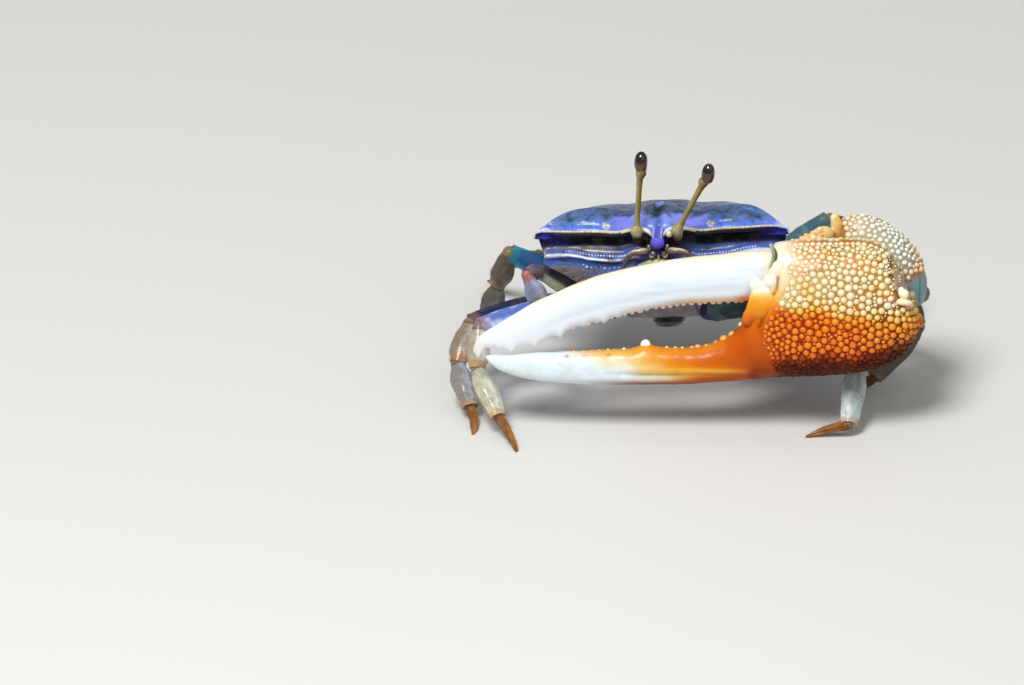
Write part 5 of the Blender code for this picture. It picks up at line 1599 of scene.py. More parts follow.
        # Painted shade: the trough between the shell's edge and the ridge, dark navy, and near black in its depth.
        trough = rise(0.55, 0.85, lip)
        clay.coat("#28305c", trough * front)
        clay.coat("#06070f", trough * rise(0.78, 1.0, lip))
        mud = rise(-0.4, 0.2, 0.6 * mottle + 1.6 * rise(4.6, 7.6, -x) - 0.9)
        clay.coat("#94877a", 0.9 * mud * rise(0.4, 0.7, gap) * rise(0.85, 0.65, lip) * front)
        clay.coat("#c8ccd8", 0.75 * hump(lip, 0.7, 0.09) * front * rise(-3.0, -4.5, x) * rise(-11.0, -9.0, x))
        clay.coat("#8a6a50", 0.6 * rise(13.2, 14.2, wide) * front * rise(-2.6, -1.2, gap) * rise(1.0, 0.6, lip))
        clay.coat("#2b2f78", 0.85 * front * rise(0.45, 0.9, lip) * rise(10.0, 12.4, wide))
        clay.coat("#3c2f50", 0.7 * rise(3.6, 2.6, wide) * front * rise(-6.0, -3.0, z))
        clay.coat("#4b3f33", 0.65 * rise(-6.0, -4.6, -z) * front * rise(0.1, 0.7, mottle))
        clay.coat("#b9b4ac", 0.3 * rise(-9.6, -10.6, z))

    def ridge(self) -> Clay:
        """The beads along the ridge under the trough, with a few scattered ones on the flank below."""
        edge = self.shell.edge()
        line = self.ring_at(edge, 4.25)[: self.shell.front_steps]
        line = line[(line[:, 0] > self.bead_reach[0]) & (line[:, 0] < self.bead_reach[1])] + (0, -0.03, 0)
        gaps = np.concatenate([[0], np.cumsum(np.linalg.norm(np.diff(line, axis=0), axis=1))])
        at = np.arange(0.0, gaps[-1], self.ridge_step)
        half = np.stack([np.interp(at, gaps, line[:, axis]) for axis in range(3)], axis=1)
        places = np.vstack([half, half * (-1, 1, 1)])
        chance = np.random.default_rng(9)
        sizes = self.ridge_bead * chance.uniform(0.75, 1.15, (len(places), 1)) * np.ones((1, 3))
        under = self.ring_at(edge, 8.6)[: self.shell.front_steps] * (-1, 1, 1)
        under = under[(under[:, 0] < -5.0) & (under[:, 0] > -9.6)][::2]
        loose = under + chance.uniform(-0.16, 0.16, (len(under), 1)) * (0.5, 0.0, 1.0)
        places = np.vstack([places, loose])
        sizes = np.vstack([sizes, np.ones((len(loose), 3)) * chance.uniform(0.08, 0.19, (len(loose), 1))])
        clay = copies("ridge_beads", bead_seed(), places, sizes)
        tone = chance.random(len(places))[clay.owners]
        clay.ramp([(0.0, "#8f9fe8"), (0.6, "#c3cffb"), (1.0, "#e8ecff")], tone)
        return clay

    def coxa(self, side: Side, number: int) -> bpy.types.Object:
        """The first piece of one limb, from inside the body to its cupped end round the limb's root."""
        great = number == 0 and side is Side.LEFT
        if number == 0:
            root, inner = self.claw_root, (self.claw_root[0] * 0.78, self.claw_root[1] + 3.4, self.claw_root[2] + 1.8)
            radius = 2.1 if great else 1.2
        else:
            root = self.leg_roots[number - 1]
            inner, radius = (root[0] * 0.35, root[1], root[2] + 1.6), self.coxa_radius
        start, end = BODY.out(side.point(inner)), BODY.out(side.point(root))
        length = (end - start).length
        sections = [
            Section(0.0, radius * 0.85, radius * 0.85), Section(length * 0.55, radius, radius),
            Section(length - 1.3 * radius, radius * 0.92, radius * 0.92),
            Section(length - 0.75 * radius, radius * 1.04, radius * 1.04),
            Section(length - 0.3 * radius, radius * 1.0, radius * 1.0),
            Section(length - 0.22 * radius, radius * 0.9, radius * 0.9),
            Section(length - 0.6 * radius, radius * 0.72, radius * 0.72),
        ]
        piece = draw_out("coxa", sections, 12, 2)
        turn = facing(end - start, Vector((0, 0, 1)))
        piece.data.transform(Matrix.Translation(start) @ turn.to_4x4())
        return piece

    def build(self) -> None:
        """Makes the under body, its ridge and the first piece of each limb."""
        clay = Clay(self.skin())
        self.carve(clay)
        self.paint(clay)
        set_in_place(clay, BODY, FACE_SHELL, ("thorax",))
        set_in_place(self.ridge(), BODY, GRAIN, sharp=80)
        parts = [self.coxa(side, number) for side in Side for number in range(5)]
        clay = Clay(merge("coxae", parts), "#4a4f6c")
        clay.coat("#7c7f92", 0.7 * rise(-0.1, 0.6, drift(clay.points, 1.4, 3.0)))
        clay.coat("#6a5846", 0.6 * rise(0.1, 0.7, drift(clay.points, 0.9, 8.0)))
        set_in_place(clay, CRAB, FACE_SHELL)


def facing(along: Vector, normal: Vector) -> Matrix:
    """The turn that lays +X along a way and +Y, the thin side, as near to a normal as can be."""
    forward = along.normalized()
    up = normal.cross(forward).normalized()
    return Matrix((forward, up.cross(forward), up)).transposed()


@dataclass
class Abdomen:
    """The male's narrow tail of seven plates, folded forward under the breast."""

    line: tuple = (
        (0, 19.7, -4.3), (0, 18.35, -7.1), (0, 15.4, -9.2), (0, 13.0, -11.2), (0, 10.6, -11.8), (0, 7.8, -11.85),
    )
    widths: tuple = (3.0, 3.3, 3.3, 3.1, 2.9, 2.6, 2.3, 2.05, 1.85, 1.6, 1.0)
    flatness: float = 0.19
    plates: int = 7

    def build(self) -> None:
        """Makes the tail as one skin with a step where each plate slides under the next."""
        line = smooth_line(self.line, 150)
        clay = Clay(tube("tail_plates", line, self.widths, 48, flatness=self.flatness), "#8d8a92")
        away = np.array([np.argmin(np.linalg.norm(line - point, axis=1)) for point in clay.points])
        place = away / (len(line) - 1) * self.plates
        step = place - np.floor(place)
        clay.push(0.16 * rise(0.0, 0.12, step) * rise(1.0, 0.55, step) - 0.12 + 0.02 * drift(clay.points, 0.8))
        clay.ramp([(0.0, "#6a6670"), (0.12, "#8f8c96"), (0.6, "#a6a3a6"), (0.93, "#8a8690"), (1.0, "#6a6670")], step)
        clay.coat("#6d6152", 0.45 * rise(0.0, 0.7, drift(clay.points, 1.3, 4.0)))
        set_in_place(clay, BODY, FACE_SHELL, ("abdomen",))


@dataclass
class Eyestalk:
    """A jointed stalk that bends up out of its trough, with its long dark eye."""

    side: Side
    root: tuple = ((1.8, 2.2, -0.3), (2.1, 1.1, -0.2), (2.35, -0.15, 0.6))
    foot: tuple = (2.45, -0.75, 1.85)
    length: float = 0.228 * SHELL_WIDTH
    radii: tuple = (0.35, 0.4, 0.52, 0.72, 0.5, 0.37, 0.34, 0.34, 0.42)
    eye_length: float = 2.5
    eye_radius: float = 0.84
    joint_gap: float = 0.3
    eye_shares: tuple = (
        (0.0, 0.3), (0.03, 0.52), (0.1, 0.76), (0.3, 0.96), (0.55, 1.0), (0.78, 0.86), (0.92, 0.56), (1.0, 0.24),
    )

    def way(self) -> Vector:
        """The direction that the stalk stands in; the two differ, as the animal looks about."""
        if self.side is Side.LEFT:
            return Vector((0.59, -0.20, 1.0)).normalized()
        return Vector((0.108, 0.02, 1.0)).normalized()

    def build(self) -> None:
        """Makes the stalk with the bulb at its bend, the cup round the eye, and the eye."""
        label = self.side.label()
        foot = Vector(self.side.point(self.foot))
        way = self.way()
        top = foot + way * self.length
        knots = [self.side.point(point) for point in self.root] + [tuple(foot)]
        knots += [tuple(foot + (top - foot) * share) for share in (0.1, 0.2, 0.33, 0.66, 1.0)]
        line = smooth_line(knots, 90)
        stalk = tube("stalk_" + label, line, self.radii, 28)
        cup_line = smooth_line([tuple(top - way * 0.5), tuple(top + way * 0.15), tuple(top + way * 0.6)], 16)
        back = Vector((0.26, 0.30, 0.0)) if self.side is Side.RIGHT else Vector((-0.1, 0.2, 0.1))
        cup_line[:, :] += np.outer(np.linspace(0, 1, len(cup_line)) ** 1.4, np.array(back))
        cup = tube("cup", cup_line, (0.42, 0.56, 0.66, 0.6, 0.4), 28)
        spur = smooth_line([tuple(top + way * 0.2 + back * 1.3), tuple(top + way * 1.1 + back * 2.05),
                            tuple(top + way * 1.9 + back * 1.75)], 12)
        ridge = tube("ridge", spur, (0.3, 0.26, 0.2, 0.1), 16)
        clay = Clay(merge("eyestalk_shell_" + label, [stalk, cup, ridge]), "#8a7c3c")
        height = (clay.points - np.array(foot)) @ np.array(way)
        # Near black at the foot as painted shade where the stalk goes down into its trough; pale olive on the bulb.
        clay.ramp(
            [(-2.4, "#1c1410"), (-1.15, "#241a14"), (-0.75, "#6c6444"), (-0.3, "#aeac84"), (0.2, "#a8a67a"),
             (0.9, "#857c48"), (2.6, "#766c34"), (5.2, "#7a6420"), (6.6, "#6c5418"), (7.6, "#846828")],
            height + 0.3 * drift(clay.points, 0.8, 2.0),
        )
        # Painted light: cream on the bulb's side that faces the key light; painted shade: brown on the stalk's side
        # away from it.
        lit = rise(0.2, 0.9, -clay.normals[:, 0] * 0.7 - clay.normals[:, 1] * 0.4)
        clay.coat("#b9b48a", 0.45 * lit * rise(-1.2, 0.0, height))
        clay.coat("#5a3f14", 0.45 * rise(0.3, 0.9, clay.normals[:, 0]) * rise(0.5, 2.0, height))
        clay.push(0.02 * drift(clay.points, 0.5, 3.0) * rise(-1.0, 1.0, height))
        set_in_place(clay, BODY, STALK_SHELL, ("eyestalk_" + label,), sharp=80)
        if self.side is Side.LEFT:
            top, way = top + Vector((0.42, -0.05, -0.28)), Vector((0.16, -0.14, 1.0)).normalized()
        self.eye(top, way, label)

    def eye(self, top: Vector, way: Vector, label: str) -> None:
        """The long cornea, near black above and a greyer brown at its lower end."""
        sections = [
            Section(self.joint_gap + self.eye_length * share, self.eye_radius * width, self.eye_radius * width)
            for share, width in self.eye_shares
        ]
        piece = draw_out("cornea_" + label, sections, 16, 3, lie=False)
        turn = way.to_track_quat("Z", "Y").to_matrix().to_4x4()
        piece.data.transform(Matrix.Translation(top) @ turn)
        clay = Clay(piece, "#160b0c")
        height = (clay.points - np.array(top)) @ np.array(way)
        clay.ramp(
            [(0.3, "#6a5650"), (0.7, "#4a2c26"), (1.15, "#34160f"), (1.7, "#1c0a0a"), (2.2, "#0a0506"),
             (2.8, "#060404")],
            height + 0.12 * drift(clay.points, 0.6, 2.0),
        )
        # Painted highlight: a brown sheen near the top of the left eye.
        if self.side is Side.LEFT:
            clay.coat("#8a6a1c", 0.8 * clay.near(tuple(top + way * 2.75 + Vector((-0.1, 0.1, 0))), 0.42))
        set_in_place(clay, BODY, Cornea(), ("eye_" + label,), sharp=80)


@dataclass
class Face:
    """What lies between the eyes and the mouth: feelers, their bases, the lip and the mouth's plates."""

    feeler: tuple = ((1.05, 0.1, -0.9), (1.9, -0.55, -0.75), (3.1, -0.5, -1.0), (3.95, -0.1, -2.0), (4.3, 0.1, -3.3))
    feeler_radii: tuple = (0.34, 0.38, 0.36, 0.33, 0.31, 0.29, 0.26, 0.2)
    plate: tuple = ((1.95, 0.9, -4.3), (1.95, 0.95, -6.0), (1.85, 1.7, -7.6), (1.6, 3.0, -9.1))
    plate_widths: tuple = (1.4, 1.7, 1.75, 1.75, 1.65, 1.35, 0.8)

    def feelers(self, side: Side) -> None:
        """One feeler: a stout ringed base and a whip that lies over the cheek."""
        line = smooth_line([side.point(point) for point in self.feeler], 90)
        clay = Clay(tube("feeler_" + side.label(), line, self.feeler_radii, 24), "#6f5c4e")
        away = np.array([np.argmin(np.linalg.norm(line - point, axis=1)) for point in clay.points]) / len(line)
        rings = np.cos(away * 2 * math.pi * 9)
        clay.push(0.015 * rings * rise(0.45, 0.6, away))
        clay.ramp([(0.0, "#4a3a3c"), (0.25, "#8a765e"), (0.45, "#6f5a52"), (0.8, "#5d4a52"), (1.0, "#55405c")], away)
        # Painted highlight: cream along the upward-facing side of the stout base.
        clay.coat("#efe2c0", 0.85 * rise(0.25, 0.8, clay.normals[:, 2]) * hump(away, 0.4, 0.26))
        clay.coat("#3a2c2c", 0.25 * rise(0.4, -0.8, rings) * rise(0.45, 0.6, away))
        set_in_place(clay, BODY, STALK_SHELL, ("antenna_" + side.label(),), sharp=80)

    def lip(self) -> None:
        """The lip over the mouth, the small feelers folded under the lobe and the pads beside them."""
        parts = []
        line = smooth_line([(-2.5, 0.9, -2.75), (-1.2, 0.45, -2.3), (0, 0.35, -2.2), (1.2, 0.45, -2.3),
                            (2.5, 0.9, -2.75)], 40)
        parts.append(tube("lip", line, (0.2, 0.34, 0.4, 0.34, 0.2), 20, across=(0, 1, 0), flatness=0.8))
        line = smooth_line([(-2.4, 0.75, -3.2), (0, 0.2, -2.82), (2.4, 0.75, -3.2)], 34)
        parts.append(tube("rim", line, (0.13, 0.2, 0.24, 0.2, 0.13), 16))
        parts.append(pebble("keel", (0, 0.05, -1.75), (0.16, 0.25, 0.55)))
        for side in Side:
            parts.append(pebble("pad", side.point((0.62, -0.1, -1.2)), (0.3, 0.3, 0.28)))
            parts.append(pebble("pad", side.point((1.05, -0.2, -0.45)), (0.26, 0.3, 0.42), turned(18 * side.value, "Y")))
            hook = smooth_line([side.point(p) for p in ((0.45, 0.0, -1.35), (0.85, -0.25, -1.65), (1.1, 0.0, -1.3))], 16)
            parts.append(tube("small_feeler", hook, (0.16, 0.15, 0.12), 12))
        parts.append(pebble("bulb", (1.42, -0.55, 1.25), (0.42, 0.4, 0.4)))
        clay = Clay(merge("mouth_lip", parts), "#a9a48c")
        wide = np.abs(clay.x)
        clay.ramp(
            [(-3.5, "#6f9fc8"), (-3.0, "#cfe2ea"), (-2.65, "#cfd49a"), (-2.1, "#b8c080"), (-1.65, "#7a6a54"),
             (-0.8, "#6a5a68"), (0.2, "#7d7360"), (0.9, "#c8c6a6")],
            clay.z + 0.08 * drift(clay.points, 0.5, 3.0),
        )
        clay.coat("#e8a23c", 0.85 * hump(clay.x, 0.0, 0.13) * rise(-2.4, -2.1, clay.z) * rise(-1.1, -1.5, clay.z))
        # Painted highlight: pale cream on the upward-facing parts of the pads and small feelers.
        clay.coat("#e6e0c8", 0.7 * rise(0.4, 0.9, clay.normals[:, 2]) * (wide > 0.4) * (clay.z > -1.9))
        clay.coat("#7fb0e0", 0.6 * rise(1.2, 2.4, wide) * (clay.z < -2.3))
        set_in_place(clay, BODY, STALK_SHELL, sharp=80)

    def mouthplate(self, side: Side) -> None:
        """One of the two plates that close the mouth, with its inner seam and a groove across it."""
        line = smooth_line([side.point(point) for point in self.plate], 70)
        piece = tube("mouth_plate_" + side.label(), line, self.plate_widths, 44, flatness=0.2, power=2.6)
        clay = Clay(piece, "#9aa2b4")
        seam = [side.point((1.15, 0, -4.4)), side.point((1.2, 0, -6.4)), side.point((1.4, 0, -8.4))]
        groove = clay.near_line([(p[0], p[2]) for p in seam], 0.12)
        cross = clay.near_line([side.point((0.2, 0, -6.6))[::2], side.point((3.6, 0, -6.3))[::2]], 0.12)
        clay.push(-0.12 * np.maximum(groove, cross) + 0.03 * drift(clay.points, 0.9))
        clay.ramp([(-9.2, "#8a8478"), (-7.0, "#a3a8b6"), (-5.0, "#7f8cb4"), (-4.2, "#3a3f5c")], clay.z)
        clay.coat("#4a3f3a", 0.75 * np.maximum(groove, cross))
        clay.coat("#6d6152", 0.4 * rise(0.0, 0.7, drift(clay.points, 0.9, 4.0)))
        set_in_place(clay, BODY, FACE_SHELL, ("mouthpart_" + side.label(),))

    def build(self) -> None:
        """Makes both sides of the face and the lip between them."""
        for side in Side:
            self.feelers(side)
            self.mouthplate(side)
        self.lip()


# The limbs


@dataclass(frozen=True)
class Form:
    """A limb segment's greatest half width and half thickness, and its shares of them along its length."""

    half_width: float
    half_thickness: float
    shares: tuple


MERUS = Form(1.85, 1.15, (
    (0.0, 0.5, 0.72), (0.16, 0.64, 0.82), (0.36, 0.92, 0.98), (0.6, 1.0, 1.0), (0.82, 0.92, 0.95), (0.95, 0.76, 0.86),
))
CARPUS = Form(1.45, 1.15, ((0.0, 0.55, 0.68), (0.3, 0.76, 0.86), (0.65, 1.0, 1.0), (0.92, 0.94, 0.96)))
PROPODUS = Form(1.5, 1.0, ((0.0, 0.52, 0.78), (0.14, 0.72, 0.9), (0.34, 0.98, 1.0), (0.65, 0.9, 0.95), (0.93, 0.7, 0.85)))
TOE = Form(0.5, 0.38, ((0.05, 0.8, 0.85), (0.2, 1.0, 1.0), (0.5, 0.76, 0.82), (0.8, 0.42, 0.5), (1.0, 0.16, 0.2)))


@dataclass(frozen=True)
class Dress:
    """How one segment is coloured: its top side, its under side (a darker copy of the top, as painted shade), its
    edges, its silt and how much of it.
    """

    face: str
    under: str
    edge: str
    silt: str = "#6a5540"
    silt_share: float = 0.35


@dataclass
class Segment:
    """One limb segment, from the ball in the cup before it to its own cupped end."""

    name: str
    start: Vector
    end: Vector
    form: Form
    balls: tuple
    scale: float
    normal: Vector
    dress: Dress
    bow: float = 0.0

    def place(self) -> Place:
        """The segment's own frame, from its near joint along +X."""
        return Place(self.start, facing(self.end - self.start, self.normal))

    def sections(self) -> list:
        """The ovals along the segment, with its rim and cup where another segment follows."""
        length = (self.end - self.start).length
        near, far = self.balls
        start, end = near * 0.5, length - (far + 0.3 if far else 0.0)
        rows = [Section(near * at, near * width, near * width)
                for at, width in ((-0.8, 0.4), (-0.55, 0.78), (-0.2, 0.97), (0.1, 1.0), (0.2, 1.0))]
        form, scale = self.form, self.scale
        for share, width, thickness in form.shares:
            lift = self.bow * math.sin(math.pi * share)
            at = start + (end - start) * share
            thick, wide = form.half_thickness * thickness * scale, form.half_width * width * scale
            if share < 0.06:
                thick, wide = max(thick, near * 1.04), max(wide, near * 1.06)
            rows.append(Section(at, thick, wide, 0.0, lift))
        if far:
            thick = max(form.half_thickness * 0.8 * scale, far * 1.1)
            wide = max(form.half_width * 0.7 * scale, far * 1.14)
            rows += [
                Section(length - 0.5 * far, thick, wide), Section(length - 0.12 * far, thick * 1.02, wide * 1.02),
                Section(length - 0.02 * far, thick * 0.95, wide * 0.95),
                Section(length - 0.4 * far, thick * 0.78, wide * 0.78),
            ]
        return rows

    def shape(self) -> Clay:
        """The segment's skin, with an edge along its top and its bottom."""
        clay = Clay(draw_out(self.name, self.sections(), 12, 3), self.dress.face)
        length = (self.end - self.start).length
        near, far = self.balls
        shaft = rise(near * 0.4, near * 1.4, clay.x) * (rise(length - far * 0.3, length - far * 1.4, clay.x) if far
                                                       else 1.0)
        up = np.abs(clay.normals[:, 2])
        clay.push(0.13 * self.scale * rise(0.86, 0.99, up) * shaft
                  - 0.05 * self.scale * hump(up, 0.62, 0.14) * shaft
                  + 0.035 * drift(clay.points, 1.2, len(self.name)) * shaft
                  + 0.015 * drift(clay.points, 0.4, 3.0) * shaft)
        return clay

    def paint(self, clay: Clay) -> None:
        """The joint's skin, the two sides, the lower one darkened as painted shade, the worn edges, the rim and the
        silt.
        """
        dress = self.dress
        near, far = self.balls
        length = (self.end - self.start).length
        x, up = clay.x, clay.normals[:, 2]
        mottle = drift(clay.points, 1.1, 5.0 + len(self.name))
        # Painted shade: the lower half of the segment takes the darker under colour.
        clay.coat(dress.under, rise(0.35, -0.35, up + 0.3 * mottle))
        clay.coat(dress.edge, 0.8 * rise(0.84, 0.98, np.abs(up)) * rise(near, near * 1.8, x))
        clay.coat(dress.silt, dress.silt_share * rise(0.1, 0.8, mottle))
        if far:
            clay.coat(dress.edge, 0.55 * rise(length - 1.5 * far, length - 0.8 * far, x))
            clay.coat("#2e241d", rise(length - 0.14 * far, length - 0.02 * far, x) * 0.7)
        clay.coat("#8a7654", 0.8 * rise(near * 0.25, near * 0.05, x))
        clay.coat("#4a3828", 0.85 * hump(x, near * 0.24, near * 0.14))

    def build(self, slot: str, finish: Chitin, stands_for: tuple) -> Clay:
        """Makes, paints and places the segment."""
        clay = self.shape()
        self.paint(clay)
        set_in_place(clay, self.place(), finish, stands_for)
        return clay


def hairs(name: str, roots: list, code: str) -> None:
    """Fine bristles as one piece: each a thin four-sided spike.

    Args:
        name: The piece's name.
        roots: Rows of a root, a tip (both in the crab's frame) and a root radius.
        code: The bristles' colour at the root.
    """
    points, faces, flat = [], [], []
    for index, (root, tip, radius) in enumerate(roots):
        root, tip = Vector(root), Vector(tip)
        way = (tip - root).normalized()
        side = way.orthogonal().normalized() * radius
        other = way.cross(side)
        first = len(points)
        points += [root + side, root + other, root - side, root - other, tip]
        faces += [(first + i, first + (i + 1) % 4, first + 4) for i in range(4)]
        faces.append((first + 3, first + 2, first + 1, first))
        flat.append(root)
    piece = new_piece(name, points, faces)
    clay = Clay(piece, code)
    share = np.tile([0, 0, 0, 0, 1], len(roots)).astype(float)
    clay.coat("#dcd2bf", 0.75 * share)
    layer = piece.data.uv_layers.new(name="OFBake")
    spread = np.array([tuple(root) for root in flat])
    low = spread.min(axis=0)
    size = float((spread.max(axis=0) - low).max()) or 1.0
    for face in piece.data.polygons:
        for corner in face.loop_indices:
            owner = piece.data.loops[corner].vertex_index // 5
            number = piece.data.loops[corner].vertex_index % 5
            at = (spread[owner] - low) / size * 0.95 + 0.02
            layer.data[corner].uv = (
                at[0] * 0.6 + at[1] * 0.4 + 0.0015 * math.cos(number), at[2] + 0.0015 * math.sin(number)
            )
    set_in_place(clay, CRAB, Bristle(), sharp=80)


@dataclass(frozen=True)
class Stance:
    """Where one walking leg's joints stand, how big it is, and how its four segments are dressed."""

    side: Side
    number: int
    knee: tuple
    wrist: tuple
    ankle: tuple
    toe: tuple
    scale: float
    dresses: tuple


# The under colours below are darker copies of the top colours, as painted shade.
BLUE_MERUS = Dress("#86a8f0", "#5c7cd0", "#a8703c", "#dfe8ff", 0.6)
VIOLET_MERUS = Dress("#3c3f8e", "#26264a", "#8a6048", "#2a2850", 0.3)
TEAL_MERUS = Dress("#2f6fae", "#20406a", "#5a4a34", "#5c4c38", 0.6)
DUN_MERUS = Dress("#4a5670", "#33333c", "#6a5440", "#5c4c38", 0.5)
CREAM_WRIST = Dress("#dcd8cc", "#a8a08c", "#b8783c", "#8a7050", 0.35)
DUN_WRIST = Dress("#84786a", "#5a5048", "#8a6a48", "#54453a", 0.5)
CREAM_HAND = Dress("#dde0d0", "#b5b49a", "#c98e4c", "#c3b58c", 0.35)
GREY_HAND = Dress("#aeb6c0", "#83807c", "#c68a52", "#7c6c58", 0.4)
DUN_HAND = Dress("#7f8086", "#5c5650", "#8a6a48", "#5e5040", 0.45)
HORN = Dress("#a06a34", "#7a4c24", "#4a2c16", "#b8854c", 0.3)
DARK_HORN = Dress("#8a5a2c", "#5f3c1c", "#4a2c14", "#a67238", 0.3)

STANCES = (
    Stance(Side.LEFT, 1, (22.3, -10.3, 7.4), (23.1, -15.1, 6.4), (22.1, -21.9, 1.6), (16.9, -22.1, 0), 1.0,
           (DUN_MERUS, DUN_WRIST, Dress("#ccd6d4", "#aab6b2", "#b08a5c", "#e6eeea", 0.5), HORN)),
    Stance(Side.LEFT, 2, (27.6, -4.3, 12.2), (30.6, -5.4, 6.6), (25.2, -9.6, 1.8), (21.9, -12.3, 0), 1.0,
           (TEAL_MERUS, DUN_WRIST, DUN_HAND, DARK_HORN)),
    Stance(Side.LEFT, 3, (20.0, 5.2, 15.6), (25.0, 7.4, 11.4), (29.0, 6.9, 3.0), (31.0, 5.6, 0), 1.0,
           (Dress("#56949a", "#39606a", "#5c6a58", "#6f8c88", 0.5), DUN_WRIST, DUN_HAND, DARK_HORN)),
    Stance(Side.LEFT, 4, (18.0, 9.8, 10.4), (22.6, 13.2, 7.4), (24.8, 16.8, 2.2), (25.4, 20.6, 0), 0.85,
           (TEAL_MERUS, DUN_WRIST, DUN_HAND, DARK_HORN)),
    Stance(Side.RIGHT, 1, (-21.9, -12.9, 10.0), (-22.1, -16.1, 6.1), (-19.6, -21.5, 2.4), (-17.4, -26.0, 0), 1.0,
           (BLUE_MERUS, CREAM_WRIST, CREAM_HAND, HORN)),
    Stance(Side.RIGHT, 2, (-23.0, -8.4, 8.4), (-24.5, -12.4, 5.0), (-22.9, -17.4, 1.7), (-22.6, -21.4, 0), 1.0,
           (VIOLET_MERUS, Dress("#c0b8a8", "#8a7c68", "#b0703c", "#6a5844", 0.4), GREY_HAND, HORN)),
    Stance(Side.RIGHT, 3, (-18.3, 0.4, 13.6), (-19.6, 2.6, 8.2), (-21.2, 4.2, 2.2), (-23.6, 5.4, 0), 0.95,
           (Dress("#2a8ac8", "#1d5a94", "#2c9494", "#1c2c3c", 0.7), DUN_WRIST, DUN_HAND, DARK_HORN)),
    Stance(Side.RIGHT, 4, (-15.0, 9.2, 8.8), (-18.2, 12.8, 6.4), (-19.9, 16.6, 2.0), (-20.9, 20.6, 0), 0.85,
           (DUN_MERUS, DUN_WRIST, DUN_HAND, DARK_HORN)),
)


@dataclass
class WalkingLeg:
    """The four free segments of one walking leg, with the bristles along their edges."""

    stance: Stance
    body: UnderBody
    root_ball: float = 0.95
    knee_ball: float = 0.9
    wrist_ball: float = 0.85
    ankle_ball: float = 0.6

    def segments(self) -> list:
        """The segments from the body to the toe."""
        stance = self.stance
        root = BODY.out(stance.side.point(self.body.leg_roots[stance.number - 1]))
        knee, wrist, ankle, toe = [Vector(p) for p in (stance.knee, stance.wrist, stance.ankle, stance.toe)]
        normal = (knee - root).cross(ankle - wrist).normalized()
        scale = stance.scale
        name = f"leg_{stance.side.label()}_{stance.number}_"
        toe += (toe - ankle).normalized() * 0.12
        rows = (
            ("merus", root, knee, MERUS, (self.root_ball, self.knee_ball), 0.0),
            ("carpus", knee, wrist, CARPUS, (self.knee_ball, self.wrist_ball), 0.0),
            ("propodus", wrist, ankle, PROPODUS, (self.wrist_ball, self.ankle_ball), 0.0),
            ("dactyl", ankle, toe, TOE, (self.ankle_ball, 0.0), 0.25),
        )
        return [
            Segment(name + part + "_skin", start, end, form, (balls[0] * scale, balls[1] * scale), scale, normal,
                    dress, bow)
            for (part, start, end, form, balls, bow), dress in zip(rows, stance.dresses)
        ]

    def edge_hairs(self, segment: Segment, clay: Clay, chance: random.Random) -> list:
        """Bristles from the upper and lower edge of one segment, leaning towards its far end."""
        length = (segment.end - segment.start).length
        rows = []
        up = clay.normals[:, 2]
        for index in range(0, len(clay.points), 3):
            x = clay.points[index, 0]
            if abs(up[index]) < 0.95 or x < length * 0.2 or x > length * 0.95 or chance.random() > 0.22:
                continue
            way = np.array((0.9, chance.uniform(-0.5, 0.5), 1.1 * np.sign(up[index])))
            way /= np.linalg.norm(way)
            reach = chance.uniform(0.2, 0.5) * segment.scale
            rows.append((clay.points[index] - way * 0.05, clay.points[index] + way * reach, 0.03))
        place = segment.place()
        rows = [(place.out(root), place.out(tip), radius) for root, tip, radius in rows]
        return [row for row in rows if row[0].z > 0.3 and row[1].z > 0.1]

    def build(self) -> None:
        """Makes the leg."""
        chance = random.Random(self.stance.number * 10 + self.stance.side.value)
        rows = []
        for segment in self.segments():
            part = segment.name.rsplit("_", 1)[0]
            toe = part.endswith("dactyl")
            clay = segment.shape()
            if toe:
                self.stand(clay, segment)
            segment.paint(clay)
            if not part.endswith("merus") or self.stance.number > 1:
                rows += self.edge_hairs(segment, clay, chance)
            set_in_place(
                clay, segment.place(), TOE_HORN if toe else LEG_SHELL, (part,), sharp=60
            )
        if rows:
            hairs(f"leg_{self.stance.side.label()}_{self.stance.number}_setae", rows, "#5c4630")

    def stand(self, clay: Clay, segment: Segment) -> None:
        """Presses the toe's tip flat on the floor."""
        place = segment.place()
        turn = np.array(place.turn)
        world = clay.points @ turn.T + np.array(place.at)
        world[:, 2] = np.maximum(world[:, 2], 0.0)
        clay.points = (world - np.array(place.at)) @ turn
        clay.store()
        clay.read_normals()


